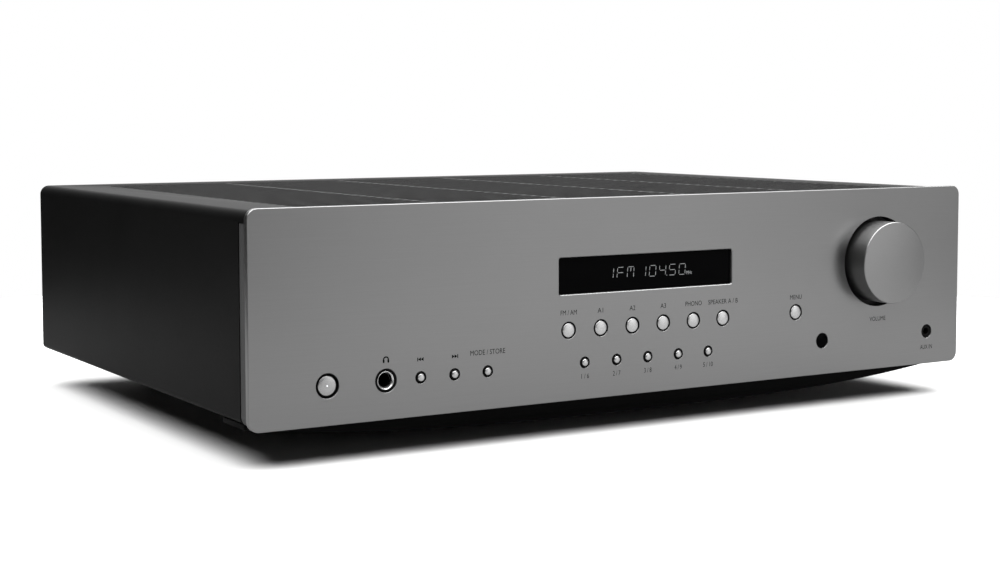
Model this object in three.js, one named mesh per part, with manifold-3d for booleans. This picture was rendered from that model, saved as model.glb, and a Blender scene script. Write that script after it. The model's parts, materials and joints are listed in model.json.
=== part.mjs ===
// A full-width stereo receiver: aluminium front panel, folded steel case, audio internals,
// rear terminals and every control as its own piece.
// Millimetres. +X to the right seen from the front, +Y to the back, +Z up.
// The origin is on the surface the receiver stands on, under the middle of its outer box.
import * as THREE from "three";
import { mergeVertices } from "three/addons/utils/BufferGeometryUtils.js";
import Module from "manifold-3d";

const wasm = await Module();
wasm.setup();

// ---------------------------------------------------------------- driving dimensions
const WIDTH = 430;
const DEPTH = 340; // knob face to the ends of the speaker terminals
const PANEL_HEIGHT = 98.6;
const CASE_HEIGHT = 95;
const PANEL_LIFT = 17.5; // the front panel's lower edge above the floor
const KNOB_REACH = 12.5; // the knob's face in front of the panel
const TERMINAL_REACH = 26; // the speaker terminals behind the rear panel
const PANEL_THICK = 3;
const PANEL_CHAMFER = 1;
const CORNER_RADIUS = 5;
const SHEET = 1; // case sheet steel
const GAP = 0.3; // between neighbouring pieces
const BUTTON_TRAVEL = 1.2;

// ---------------------------------------------------------------- places worked out from them
const FACE_Y = -DEPTH / 2 + KNOB_REACH; // the front panel's face
const PANEL_BACK_Y = FACE_Y + PANEL_THICK;
const REAR_Y = DEPTH / 2 - TERMINAL_REACH; // the rear panel's outer face
const PANEL_TOP = PANEL_LIFT + PANEL_HEIGHT;
const CASE_TOP = PANEL_TOP - 1;
const CASE_BOTTOM = CASE_TOP - CASE_HEIGHT;
const COVER_HALF = WIDTH / 2 - 0.3;
const COVER_FRONT_Y = PANEL_BACK_Y + GAP;
const COVER_BACK_Y = REAR_Y + 0.6;
const COVER_FOOT_RADIUS = 3;
const COVER_LIP = 8; // turned in along the cover's lower edges
const LIP_EDGE = COVER_HALF - COVER_FOOT_RADIUS - COVER_LIP;
const NOTCH_DEPTH = 6.8; // how far the cover's sides stop short of its front lip
const NOTCH_TOP = CASE_TOP - CORNER_RADIUS - 0.4;
const INNER_HALF = COVER_HALF - SHEET - GAP; // half width of what stands inside the cover
const INNER_TOP = CASE_TOP - SHEET - GAP;
const INNER_RADIUS = CORNER_RADIUS - SHEET - GAP;
const FRAME_THICK = 4.5;
const FRAME_BACK_Y = COVER_FRONT_Y + FRAME_THICK;
const WALL_FRONT_Y = FRAME_BACK_Y + GAP; // the tray's front wall
const TRAY_SHEET = 1.2;
const WALL_BACK_Y = WALL_FRONT_Y + TRAY_SHEET;
const FLOOR_Z = CASE_BOTTOM + SHEET + GAP; // underside of the tray
const TRAY_TOP_Z = FLOOR_Z + TRAY_SHEET;
const TRAY_HALF = INNER_HALF - 1.5;
const REAR_INNER_Y = REAR_Y - TRAY_SHEET;
const BOARD_THICK = 1.6;
const CONTROL_BOARD_Y = FACE_Y + 15.4; // front face of the upright board behind the controls
const SWITCH_HEIGHT = 3.6;
const STEM_END_Y = CONTROL_BOARD_Y - SWITCH_HEIGHT - BUTTON_TRAVEL - GAP;
const AMP_BOARD_Z = TRAY_TOP_Z + 7.5;
const AMP_TOP_Z = AMP_BOARD_Z + BOARD_THICK;

// ---------------------------------------------------------------- the front panel's layout
const LOWER_ROW_Z = PANEL_TOP - 80.5;
const SOURCE_ROW_Z = PANEL_TOP - 64.1;
const BUTTON_PITCH = 19;
const TRANSPORT_PITCH = 18;
const POWER_X = -176.9;
const PREVIOUS_X = -129.3; // the first of the three small buttons
const MENU_X = 96.3;
const KNOB = { x: 154.7, z: PANEL_TOP - 39.8, radius: 22, well: 24.4 };
const WINDOW = { width: 106, height: 17.9, z: PANEL_TOP - 37.7, corner: 1 };
const HEADPHONE = { x: -147.4, z: LOWER_ROW_Z, hole: 5.55, bore: 3.25 };
const AUX = { x: 191.5, z: LOWER_ROW_Z, hole: 3.75, bore: 1.8 };
const SENSOR = { x: 114.9, z: LOWER_ROW_Z, hole: 4.15 };

// Button kinds: hole radius, cap radius and how far the cap stands out of the panel (the large
// one sits just below its surface).
const SMALL = { hole: 2.85, cap: 2.3, reach: 0.7, segments: 12 };
const MEDIUM = { hole: 4.25, cap: 3.7, reach: 0.2, segments: 14 };
const LARGE = { hole: 5.75, cap: 4.75, reach: -0.3, segments: 18 };

const row = (names, kind, firstX, pitch, z) =>
  names.map((name, i) => ({ name, kind, x: firstX + i * pitch, z }));

const BUTTONS = [
  { name: "power_button", kind: LARGE, x: POWER_X, z: LOWER_ROW_Z },
  ...row(
    ["previous_button", "next_button", "mode_button"],
    SMALL, PREVIOUS_X, TRANSPORT_PITCH, LOWER_ROW_Z,
  ),
  ...row(
    ["tuner_button", "input_1_button", "input_2_button", "input_3_button", "phono_button", "speaker_button"],
    MEDIUM, -2.5 * BUTTON_PITCH, BUTTON_PITCH, SOURCE_ROW_Z,
  ),
  ...row(
    [1, 2, 3, 4, 5].map((n) => `preset_${n}_button`),
    SMALL, -2 * BUTTON_PITCH, BUTTON_PITCH, LOWER_ROW_Z,
  ),
  { name: "menu_button", kind: MEDIUM, x: MENU_X, z: SOURCE_ROW_Z },
];

// ---------------------------------------------------------------- materials
const finish = (color, roughness, metalness) =>
  new THREE.MeshStandardMaterial({ color, roughness, metalness });

const aluminium = finish(0x8a8a8c, 0.45, 1);
const buttonMetal = finish(0xc4c4c6, 0.35, 1);
const blackSteel = finish(0x1c1c1e, 0.6, 0.2);
const blackPlastic = finish(0x141416, 0.55, 0);
const darkGlass = finish(0x050506, 0.08, 0);
const chrome = finish(0xd8d8da, 0.12, 1);
const rubber = finish(0x101010, 0.9, 0);
const zincSteel = finish(0xa8a9a6, 0.4, 1);
const boardGreen = finish(0x1f4a30, 0.6, 0);
const copper = finish(0xb5763f, 0.4, 0.8);
const sleeveBlack = finish(0x1a1a20, 0.4, 0);
const heatsinkBlack = finish(0x26262a, 0.55, 0.7);
const terminalRed = finish(0x9a1414, 0.35, 0);

// ---------------------------------------------------------------- geometry helpers
// A closed geometry as a manifold solid.
function solid(geometry) {
  const bare = geometry.clone();
  bare.deleteAttribute("normal");
  bare.deleteAttribute("uv");
  const merged = mergeVertices(bare, 1e-4);
  const made = new wasm.Manifold(
    new wasm.Mesh({
      numProp: 3,
      vertProperties: merged.attributes.position.array,
      triVerts: new Uint32Array(merged.index.array),
    }),
  );
  if (made.volume() > 0) return made;
  const flipped = Uint32Array.from(merged.index.array);
  for (let i = 0; i < flipped.length; i += 3) [flipped[i], flipped[i + 1]] = [flipped[i + 1], flipped[i]];
  return new wasm.Manifold(
    new wasm.Mesh({ numProp: 3, vertProperties: merged.attributes.position.array, triVerts: flipped }),
  );
}

// A manifold solid as a three.js geometry.
function geometryOf(made) {
  const mesh = made.getMesh();
  const geometry = new THREE.BufferGeometry()
    .setAttribute("position", new THREE.BufferAttribute(mesh.vertProperties, 3))
    .setIndex(new THREE.BufferAttribute(mesh.triVerts, 1));
  geometry.computeVertexNormals();
  return geometry;
}

const join = (...solids) => solids.reduce((all, one) => all.add(one));
const cut = (from, ...cutters) => cutters.reduce((left, one) => left.subtract(one), from);

// A block between two limits on each axis.
function block([x0, x1], [y0, y1], [z0, z1]) {
  const box = new THREE.BoxGeometry(x1 - x0, y1 - y0, z1 - z0);
  return solid(box.translate((x0 + x1) / 2, (y0 + y1) / 2, (z0 + z1) / 2));
}

const around = (centre, half) => [centre - half, centre + half];

// A turned piece whose axis runs along Y. The profile is a list of [radius, y].
function turned(profile, segments, x = 0, z = 0) {
  const points = profile.map(([r, y]) => new THREE.Vector2(r, y));
  return solid(new THREE.LatheGeometry(points, segments).translate(x, 0, z));
}

// A turned piece whose axis stands upright. The profile is a list of [radius, z].
function upright(profile, segments, x = 0, y = 0) {
  const points = profile.map(([r, z]) => new THREE.Vector2(r, z));
  return solid(new THREE.LatheGeometry(points, segments).rotateX(Math.PI / 2).translate(x, y, 0));
}

const rod = (radius, [y0, y1], segments, x = 0, z = 0) =>
  turned([[0, y0], [radius, y0], [radius, y1], [0, y1]], segments, x, z);

const post = (radius, [z0, z1], segments, x = 0, y = 0) =>
  upright([[0, z0], [radius, z0], [radius, z1], [0, z1]], segments, x, y);

// A rectangle in the XZ plane with its own radius at the top and at the bottom corners.
function roundedOutline(halfWidth, z0, z1, topRadius, bottomRadius = topRadius) {
  const shape = new THREE.Shape();
  shape.moveTo(-halfWidth + bottomRadius, z0);
  shape.lineTo(halfWidth - bottomRadius, z0);
  if (bottomRadius) shape.absarc(halfWidth - bottomRadius, z0 + bottomRadius, bottomRadius, -Math.PI / 2, 0);
  shape.lineTo(halfWidth, z1 - topRadius);
  if (topRadius) shape.absarc(halfWidth - topRadius, z1 - topRadius, topRadius, 0, Math.PI / 2);
  shape.lineTo(-halfWidth + topRadius, z1);
  if (topRadius) shape.absarc(-halfWidth + topRadius, z1 - topRadius, topRadius, Math.PI / 2, Math.PI);
  shape.lineTo(-halfWidth, z0 + bottomRadius);
  if (bottomRadius) {
    shape.absarc(-halfWidth + bottomRadius, z0 + bottomRadius, bottomRadius, Math.PI, 1.5 * Math.PI);
  }
  return shape;
}

// A shape drawn in the XZ plane, given depth from y0 to y1.
function plate(shape, [y0, y1], curveSegments = 6) {
  const made = new THREE.ExtrudeGeometry(shape, { depth: y1 - y0, bevelEnabled: false, curveSegments });
  return solid(made.rotateX(Math.PI / 2).translate(0, y1, 0));
}

// A solid skin through rings of equally many points, closed by a fan at each end.
function lofted(rings) {
  const count = rings[0].length;
  const positions = rings.flat().flatMap((p) => [p.x, p.y, p.z]);
  const faces = [];
  for (let k = 0; k + 1 < rings.length; k++) {
    for (let i = 0; i < count; i++) {
      const a = k * count + i;
      const b = k * count + ((i + 1) % count);
      faces.push(a, b, b + count, a, b + count, a + count);
    }
  }
  const last = (rings.length - 1) * count;
  for (let i = 1; i + 1 < count; i++) faces.push(0, i + 1, i, last, last + i, last + i + 1);
  const geometry = new THREE.BufferGeometry();
  geometry.setAttribute("position", new THREE.Float32BufferAttribute(positions, 3));
  geometry.setIndex(faces);
  return solid(geometry);
}

const receiver = new THREE.Group();

function add(name, made, material, parent = receiver) {
  const mesh = new THREE.Mesh(geometryOf(made), material);
  mesh.name = name;
  parent.add(mesh);
  return mesh;
}

// ---------------------------------------------------------------- front panel
// A thick aluminium plate with a chamfer all round its front edge and a hole for each control.
function frontPanel() {
  const ring = (inset, y) =>
    roundedOutline(WIDTH / 2 - inset, PANEL_LIFT + inset, PANEL_TOP - inset, CORNER_RADIUS - inset)
      .getPoints(5)
      .map((p) => new THREE.Vector3(p.x, y, p.y));
  const slab = lofted([
    ring(PANEL_CHAMFER, FACE_Y),
    ring(0, FACE_Y + PANEL_CHAMFER),
    ring(0, PANEL_BACK_Y),
  ]);
  const through = [FACE_Y - 1, PANEL_BACK_Y + 1];
  const hole = (radius, x, z, segments) => rod(radius, through, segments, x, z);
  const windowHole = plate(
    roundedOutline(
      WINDOW.width / 2, WINDOW.z - WINDOW.height / 2, WINDOW.z + WINDOW.height / 2, WINDOW.corner,
    ),
    through,
    2,
  );
  return cut(
    slab,
    windowHole,
    hole(KNOB.well, KNOB.x, KNOB.z, 40),
    hole(HEADPHONE.hole, HEADPHONE.x, HEADPHONE.z, 20),
    hole(AUX.hole, AUX.x, AUX.z, 16),
    hole(SENSOR.hole, SENSOR.x, SENSOR.z, 16),
    ...BUTTONS.map((b) => hole(b.kind.hole, b.x, b.z, b.kind.segments)),
  );
}

// The windows that both the frame and the tray's front wall have behind the controls.
const CONTROL_WINDOWS = [
  [around(POWER_X, 8.2), around(LOWER_ROW_Z, 8)],
  [around(HEADPHONE.x, 9), around(HEADPHONE.z, 9)],
  [around(PREVIOUS_X + TRANSPORT_PITCH, TRANSPORT_PITCH + 5.5), around(LOWER_ROW_Z, 5.5)],
  [around(0, 2.5 * BUTTON_PITCH + 6.5), around(SOURCE_ROW_Z, 6.3)],
  [around(0, 2 * BUTTON_PITCH + 5.5), around(LOWER_ROW_Z, 5.5)],
  [around(MENU_X, 6.5), around(SOURCE_ROW_Z, 6.3)],
  [around(SENSOR.x, 6.5), around(SENSOR.z, 6.5)],
  [around(AUX.x, 6.5), around(AUX.z, 6.5)],
  [around(0, WINDOW.width / 2 + 4), around(WINDOW.z, WINDOW.height / 2 + 4)],
];

const windowCutters = (yRange) => CONTROL_WINDOWS.map(([xs, zs]) => block(xs, yRange, zs));

// The moulded black frame between the panel and the case, with a dished well for the knob. Its
// sides widen to fill the notches in the cover.
function frontFrame() {
  const bottom = PANEL_LIFT + 1.2;
  const body = plate(
    roundedOutline(INNER_HALF, bottom, INNER_TOP, INNER_RADIUS),
    [COVER_FRONT_Y, FRAME_BACK_Y],
  );
  const wings = plate(
    roundedOutline(COVER_HALF - GAP, bottom, NOTCH_TOP - GAP, 0, CORNER_RADIUS),
    [COVER_FRONT_Y, COVER_FRONT_Y + NOTCH_DEPTH - GAP],
  );
  const between = block(
    around(0, INNER_HALF - 0.8),
    [COVER_FRONT_Y - 1, COVER_FRONT_Y + NOTCH_DEPTH],
    [bottom - 1, CASE_TOP],
  );
  const wellFloor = 1;
  return cut(
    join(body, cut(wings, between)),
    ...windowCutters([COVER_FRONT_Y - 1, FRAME_BACK_Y + 1]),
    rod(KNOB.well + 0.4, [COVER_FRONT_Y - 1, FRAME_BACK_Y - wellFloor], 32, KNOB.x, KNOB.z),
    rod(5.2, [COVER_FRONT_Y - 1, FRAME_BACK_Y + 1], 16, KNOB.x, KNOB.z),
  );
}

// The display window: a lens that fills the opening, on a flange behind the panel.
function displayWindow() {
  const recess = 1.5;
  const lens = block(
    around(0, WINDOW.width / 2 - GAP),
    [FACE_Y + recess, PANEL_BACK_Y + 1],
    around(WINDOW.z, WINDOW.height / 2 - GAP),
  );
  const flange = block(
    around(0, WINDOW.width / 2 + 3.5),
    [PANEL_BACK_Y + GAP, PANEL_BACK_Y + 1.8],
    around(WINDOW.z, WINDOW.height / 2 + 3.5),
  );
  return join(lens, flange);
}

// A round lens over the remote-control receiver, with a collar behind the panel.
function sensorWindow() {
  return turned(
    [
      [0, FACE_Y + 0.6],
      [SENSOR.hole - GAP, FACE_Y + 0.6],
      [SENSOR.hole - GAP, PANEL_BACK_Y + GAP],
      [5.6, PANEL_BACK_Y + GAP],
      [5.6, PANEL_BACK_Y + 2],
      [0, PANEL_BACK_Y + 2],
    ],
    18,
    SENSOR.x,
    SENSOR.z,
  );
}

// A 6.35 mm headphone socket: threaded ring in the panel's hole and a boxed body behind.
function headphoneJack() {
  const ring = rod(HEADPHONE.hole - 0.6, [FACE_Y + 0.2, PANEL_BACK_Y + 2], 20, HEADPHONE.x, HEADPHONE.z);
  const body = block(
    around(HEADPHONE.x, 7.5),
    [PANEL_BACK_Y + GAP, PANEL_BACK_Y + 30],
    around(HEADPHONE.z, 7.5),
  );
  const bore = rod(HEADPHONE.bore, [FACE_Y - 1, PANEL_BACK_Y + 27], 16, HEADPHONE.x, HEADPHONE.z);
  return cut(join(ring, body), bore);
}

// A 3.5 mm input socket standing on the control board.
function auxJack() {
  const ring = rod(AUX.hole - GAP, [FACE_Y + 0.4, PANEL_BACK_Y + 2], 16, AUX.x, AUX.z);
  const body = block(around(AUX.x, 5.5), [PANEL_BACK_Y + GAP, CONTROL_BOARD_Y - GAP], around(AUX.z, 4.5));
  const bore = rod(AUX.bore, [FACE_Y - 1, CONTROL_BOARD_Y - 2], 12, AUX.x, AUX.z);
  return cut(join(ring, body), bore);
}

// A push button: cap through the panel, flange behind it and a stem to its switch.
function button({ cap, hole, reach, segments }) {
  const flangeY = PANEL_THICK + GAP;
  return turned(
    [
      [0, -reach],
      [cap - 0.35, -reach],
      [cap, -reach + 0.35],
      [cap, flangeY],
      [hole + 0.9, flangeY],
      [hole + 0.9, flangeY + 1],
      [1.4, flangeY + 1],
      [1.4, STEM_END_Y - FACE_Y],
      [0, STEM_END_Y - FACE_Y],
    ],
    segments,
  );
}

// The volume knob: a turned aluminium cup with a boss that grips the encoder's shaft.
const SHAFT_RADIUS = 3;

function volumeKnob() {
  const front = -KNOB_REACH;
  const back = FRAME_BACK_Y - 2 - FACE_Y;
  const boss = 6;
  return turned(
    [
      [0, front],
      [KNOB.radius - 1, front],
      [KNOB.radius, front + 1],
      [KNOB.radius, back],
      [KNOB.radius - 2.5, back],
      [KNOB.radius - 2.5, front + 3],
      [boss, front + 3],
      [boss, PANEL_THICK - 0.5],
      [SHAFT_RADIUS + GAP, PANEL_THICK - 0.5],
      [SHAFT_RADIUS + GAP, front + 6],
      [0, front + 6],
    ],
    36,
  );
}

const encoderShaft = () =>
  rod(SHAFT_RADIUS, [-KNOB_REACH + 6 + GAP, CONTROL_BOARD_Y - FACE_Y - 1], 16);

// The rotary encoder behind the knob: body on the board, threaded bush and nut through the frame.
function volumeEncoder() {
  const body = block(around(KNOB.x, 8), [WALL_BACK_Y + GAP, CONTROL_BOARD_Y - GAP], around(KNOB.z, 8));
  const bush = rod(4.6, [PANEL_BACK_Y + 0.6, WALL_BACK_Y + 1], 16, KNOB.x, KNOB.z);
  const nut = rod(7, [PANEL_BACK_Y + 1.2, FRAME_BACK_Y - 1 - GAP], 6, KNOB.x, KNOB.z);
  const bore = rod(SHAFT_RADIUS + GAP, [FACE_Y - 1, CONTROL_BOARD_Y + 1], 16, KNOB.x, KNOB.z);
  return cut(join(body, bush, nut), bore);
}

// ---------------------------------------------------------------- case
// Vent bays in the cover's top: rows of slots across each bay, with a plain bar between bays.
const VENTS = { bays: 5, pitch: 74, width: 71, rows: 28, slot: 5.7, step: 9.2, frontY: FACE_Y + 21 };

function ventSlots() {
  const slots = [];
  for (let bay = 0; bay < VENTS.bays; bay++) {
    const x = (bay - (VENTS.bays - 1) / 2) * VENTS.pitch;
    for (let r = 0; r < VENTS.rows; r++) {
      const y = VENTS.frontY + r * VENTS.step;
      const across = around(x, VENTS.width / 2);
      slots.push(block(across, around(y, VENTS.slot / 2), [CASE_TOP - 3, CASE_TOP + 3]));
    }
  }
  return slots;
}

// The folded cover: top, both sides and a turned-in lip along each lower edge. Its sides stop
// short of the front panel, and the top's front lip reaches it.
function topCover() {
  const outer = roundedOutline(COVER_HALF, CASE_BOTTOM, CASE_TOP, CORNER_RADIUS, COVER_FOOT_RADIUS);
  const inner = roundedOutline(
    COVER_HALF - SHEET,
    CASE_BOTTOM + SHEET,
    CASE_TOP - SHEET,
    CORNER_RADIUS - SHEET,
    COVER_FOOT_RADIUS - SHEET,
  );
  const whole = [COVER_FRONT_Y, COVER_BACK_Y];
  const past = [COVER_FRONT_Y - 1, COVER_BACK_Y + 1];
  const notch = (side) =>
    block(
      around(side * COVER_HALF, 4),
      [COVER_FRONT_Y - 1, COVER_FRONT_Y + NOTCH_DEPTH],
      [CASE_BOTTOM - 1, NOTCH_TOP],
    );
  const underside = block(around(0, LIP_EDGE), past, around(CASE_BOTTOM, 3));
  const lipFront = block(
    around(0, COVER_HALF + 1),
    [COVER_FRONT_Y - 1, COVER_FRONT_Y + NOTCH_DEPTH],
    [CASE_BOTTOM - 1, CASE_BOTTOM + 10],
  );
  const shell = cut(plate(outer, whole, 4), plate(inner, past, 4), underside, lipFront, notch(-1), notch(1));
  return cut(shell, ...ventSlots());
}

// The chassis: floor with vents and board posts, full-height front wall, low side and rear flanges.
const BOARD_POSTS = [
  [-62, -120], [-62, 112], [64, -120], [64, 112], [188, -120], [188, 112],
];

function baseTray() {
  const flangeTop = TRAY_TOP_Z + 11;
  const floor = block(around(0, TRAY_HALF), [WALL_FRONT_Y, REAR_INNER_Y - GAP], [FLOOR_Z, TRAY_TOP_Z]);
  const wall = plate(
    roundedOutline(TRAY_HALF, FLOOR_Z, INNER_TOP, INNER_RADIUS, 0),
    [WALL_FRONT_Y, WALL_BACK_Y],
    3,
  );
  const side = (sign) =>
    block(
      around(sign * (TRAY_HALF - TRAY_SHEET / 2), TRAY_SHEET / 2),
      [WALL_FRONT_Y + 0.5, REAR_INNER_Y - GAP],
      [FLOOR_Z + 0.5, flangeTop],
    );
  const rearFlange = block(
    around(0, TRAY_HALF - 0.5),
    [REAR_INNER_Y - GAP - TRAY_SHEET, REAR_INNER_Y - GAP],
    [FLOOR_Z + 0.5, flangeTop],
  );
  const posts = BOARD_POSTS.map(([x, y]) =>
    block(around(x, 3), around(y, 3), [TRAY_TOP_Z - 0.5, AMP_BOARD_Z - GAP]),
  );
  const floorSlots = [];
  for (let column = 0; column < 8; column++) {
    for (const y of [-40, 30]) {
      floorSlots.push(block(around(20 + column * 20, 1.8), around(y, 26), [FLOOR_Z - 1, TRAY_TOP_Z + 1]));
    }
  }
  return cut(
    join(floor, wall, side(-1), side(1), rearFlange, ...posts),
    ...floorSlots,
    ...windowCutters([WALL_FRONT_Y - 1, WALL_BACK_Y + 1]),
    rod(9, [WALL_FRONT_Y - 1, WALL_BACK_Y + 1], 16, KNOB.x, KNOB.z),
  );
}

// ---------------------------------------------------------------- rear connections
const JACKS = { columns: 5, firstX: 160, pitch: 22, upperZ: 86, lowerZ: 66 };
const JACK_PLACES = Array.from({ length: JACKS.columns * 2 }, (_, i) => ({
  x: JACKS.firstX - Math.floor(i / 2) * JACKS.pitch,
  z: i % 2 ? JACKS.lowerZ : JACKS.upperZ,
}));
const SPEAKERS = { columns: [14, -5, -38, -57], rows: [86, 56], plate: 2.5 };
const SPEAKER_PLACES = SPEAKERS.rows.flatMap((z) => SPEAKERS.columns.map((x) => ({ x, z })));
const SPEAKER_PLATE = { x: [-72, 29], z: [40, 102] };
const MAINS = { x: -170, z: 52 };
const ROCKER = { x: -170, z: 90, tilt: THREE.MathUtils.degToRad(7) };
const ANTENNA = { x: 190, zs: [58, 104], half: 15, coaxZ: 95, leverXs: [184, 196] };
const GROUND = { x: 160, z: 45 };

function rearPanel() {
  const through = [REAR_INNER_Y - 1, REAR_Y + 1];
  const jackHoles = JACK_PLACES.map(({ x, z }) => rod(5.2, through, 12, x, z));
  const inset = ([low, high]) => [low + 6, high - 6];
  return cut(
    plate(roundedOutline(INNER_HALF, FLOOR_Z, INNER_TOP, INNER_RADIUS, 1.7), [REAR_INNER_Y, REAR_Y], 3),
    ...jackHoles,
    block(inset(SPEAKER_PLATE.x), through, inset(SPEAKER_PLATE.z)),
    block(around(MAINS.x, 14.3), through, around(MAINS.z, 10.8)),
    block(around(ROCKER.x, 7.3), through, around(ROCKER.z, 11.8)),
    block(around(ANTENNA.x, ANTENNA.half - 4), through, [ANTENNA.zs[0] + 4, ANTENNA.zs[1] - 4]),
    rod(3.3, through, 12, GROUND.x, GROUND.z),
  );
}

// Phono sockets in one moulded block, with their outer sleeves through the rear panel.
function inputJackBlock() {
  const lastX = JACKS.firstX - (JACKS.columns - 1) * JACKS.pitch;
  const body = block(
    [lastX - 9, JACKS.firstX + 9],
    [REAR_INNER_Y - 11, REAR_INNER_Y - GAP],
    [JACKS.lowerZ - 9, JACKS.upperZ + 9],
  );
  const sleeves = JACK_PLACES.map(({ x, z }) => rod(4.15, [REAR_INNER_Y - 1, REAR_Y + 9], 12, x, z));
  const bores = JACK_PLACES.map(({ x, z }) => rod(1.7, [REAR_Y - 4, REAR_Y + 10], 8, x, z));
  return cut(join(body, ...sleeves), ...bores);
}

// The speaker terminals' moulding: plate, a hub round each post and the metal posts themselves.
const POST_RADIUS = 3;
const HUB_END_Y = REAR_Y + 7;

function speakerTerminalBlock() {
  const front = block(SPEAKER_PLATE.x, [REAR_Y + GAP, REAR_Y + SPEAKERS.plate], SPEAKER_PLATE.z);
  const back = block(
    [SPEAKER_PLATE.x[0] + 6.5, SPEAKER_PLATE.x[1] - 6.5],
    [REAR_INNER_Y - 8, REAR_Y + 1],
    [SPEAKER_PLATE.z[0] + 6.5, SPEAKER_PLATE.z[1] - 6.5],
  );
  const hubs = SPEAKER_PLACES.map(({ x, z }) => rod(6.2, [REAR_Y + 1, HUB_END_Y], 12, x, z));
  const posts = SPEAKER_PLACES.map(({ x, z }) => rod(POST_RADIUS, [REAR_Y + 1, DEPTH / 2 - 3], 10, x, z));
  return join(front, back, ...hubs, ...posts);
}

// A binding-post cap: a collar round the post with a socket mouth at its end.
function postCap() {
  const bore = POST_RADIUS + GAP;
  const start = HUB_END_Y + 0.8;
  const end = DEPTH / 2;
  return turned(
    [
      [bore, start],
      [5.6, start],
      [5.6, end - 1],
      [4.8, end],
      [2.1, end],
      [2.1, end - 2.5],
      [bore, end - 2.5],
      [bore, start],
    ],
    16,
  );
}

// The mains inlet: flanged moulding with a six-sided cavity and three blades.
function mainsInlet() {
  const flange = block(around(MAINS.x, 25), [REAR_Y + GAP, REAR_Y + 3], around(MAINS.z, 13.5));
  const body = block(around(MAINS.x, 14), [REAR_INNER_Y - 18, REAR_Y + 1], around(MAINS.z, 10.5));
  const cavity = new THREE.Shape();
  cavity.moveTo(MAINS.x - 12, MAINS.z - 8.25);
  cavity.lineTo(MAINS.x + 12, MAINS.z - 8.25);
  cavity.lineTo(MAINS.x + 12, MAINS.z + 3.5);
  cavity.lineTo(MAINS.x + 7.5, MAINS.z + 8.25);
  cavity.lineTo(MAINS.x - 7.5, MAINS.z + 8.25);
  cavity.lineTo(MAINS.x - 12, MAINS.z + 3.5);
  const blade = (dx, dz) =>
    block(around(MAINS.x + dx, 1), [REAR_INNER_Y - 18, REAR_Y - 3], around(MAINS.z + dz, 2));
  const hollow = cut(join(flange, body), plate(cavity, [REAR_Y - 14, REAR_Y + 4]));
  return join(hollow, blade(-7, -2), blade(7, -2), blade(0, 2));
}

// The mains switch: a flanged well, and a shallow V-shaped rocker that tips in it.
function rockerHousing() {
  const flange = block(around(ROCKER.x, 10), [REAR_Y + GAP, REAR_Y + 2], around(ROCKER.z, 14.5));
  const body = block(around(ROCKER.x, 7), [REAR_INNER_Y - 14, REAR_Y + 1], around(ROCKER.z, 11.5));
  const well = block(around(ROCKER.x, 6), [REAR_Y - 9, REAR_Y + 3], around(ROCKER.z, 10.5));
  return cut(join(flange, body), well);
}

// The rocker's profile in its own YZ plane; its pivot is at the origin.
function mainsRocker() {
  const profile = new THREE.Shape();
  profile.moveTo(-3, -2.5);
  profile.lineTo(3, -2.5);
  profile.lineTo(9.4, 1.5);
  profile.lineTo(9.4, 5.2);
  profile.lineTo(0, 4.1);
  profile.lineTo(-9.4, 5.2);
  profile.lineTo(-9.4, 1.5);
  const made = new THREE.ExtrudeGeometry(profile, { depth: 11, bevelEnabled: false });
  // the shape's x runs along Z and its y along Y
  made.applyMatrix4(new THREE.Matrix4().makeBasis(
    new THREE.Vector3(0, 0, 1), new THREE.Vector3(0, 1, 0), new THREE.Vector3(-1, 0, 0),
  ));
  return solid(made.translate(5.5, 0, 0));
}

// Aerial terminals: block with a coaxial socket above two spring clips.
const LEVER = { half: 4.1, z0: 62, z1: 77, y0: REAR_Y + 5.2, y1: REAR_Y + 9 };
const LEVER_PIVOT = { y: REAR_Y + 6.4, z: 75 };

function antennaTerminal() {
  const faceY = REAR_Y + 8;
  const body = block(around(ANTENNA.x, ANTENNA.half), [REAR_Y + GAP, faceY], ANTENNA.zs);
  const back = block(
    around(ANTENNA.x, ANTENNA.half - 4.5),
    [REAR_INNER_Y - 8, REAR_Y + 1],
    [ANTENNA.zs[0] + 4.5, ANTENNA.zs[1] - 4.5],
  );
  const coax = rod(4.7, [faceY - 1, REAR_Y + 17], 14, ANTENNA.x, ANTENNA.coaxZ);
  const coaxBore = rod(3.8, [faceY + 1, REAR_Y + 18], 12, ANTENNA.x, ANTENNA.coaxZ);
  const clipWells = ANTENNA.leverXs.map((x) =>
    block(around(x, LEVER.half + 0.5), [REAR_Y + 1.5, faceY + 1], [LEVER.z0 - 1, LEVER.z1 + 1]),
  );
  return cut(join(body, back, coax), coaxBore, ...clipWells);
}

// A clip's lever, drawn round its pivot.
const antennaLever = () =>
  block(
    around(0, LEVER.half),
    [LEVER.y0 - LEVER_PIVOT.y, LEVER.y1 - LEVER_PIVOT.y],
    [LEVER.z0 - LEVER_PIVOT.z, LEVER.z1 - LEVER_PIVOT.z],
  );

// The signal-earth terminal: a shouldered stud through the rear panel and its thumb nut.
function groundStud() {
  return turned(
    [
      [0, REAR_INNER_Y - 5],
      [5, REAR_INNER_Y - 5],
      [5, REAR_INNER_Y - GAP],
      [3, REAR_INNER_Y - GAP],
      [3, REAR_Y + 1.2],
      [1.7, REAR_Y + 1.2],
      [1.7, REAR_Y + 10],
      [0, REAR_Y + 10],
    ],
    12,
    GROUND.x,
    GROUND.z,
  );
}

const groundNut = () =>
  turned([[2, REAR_Y + 2.4], [5, REAR_Y + 2.4], [5, REAR_Y + 8], [2, REAR_Y + 8], [2, REAR_Y + 2.4]], 16);

// ---------------------------------------------------------------- stand
// A bowed plinth under the panel: flat for most of its length, rising to nothing at both ends.
const PLINTH = { half: 213, drop: 10.3, frontY: FACE_Y + 10.2, backY: FACE_Y + 34, steps: 20 };

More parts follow.
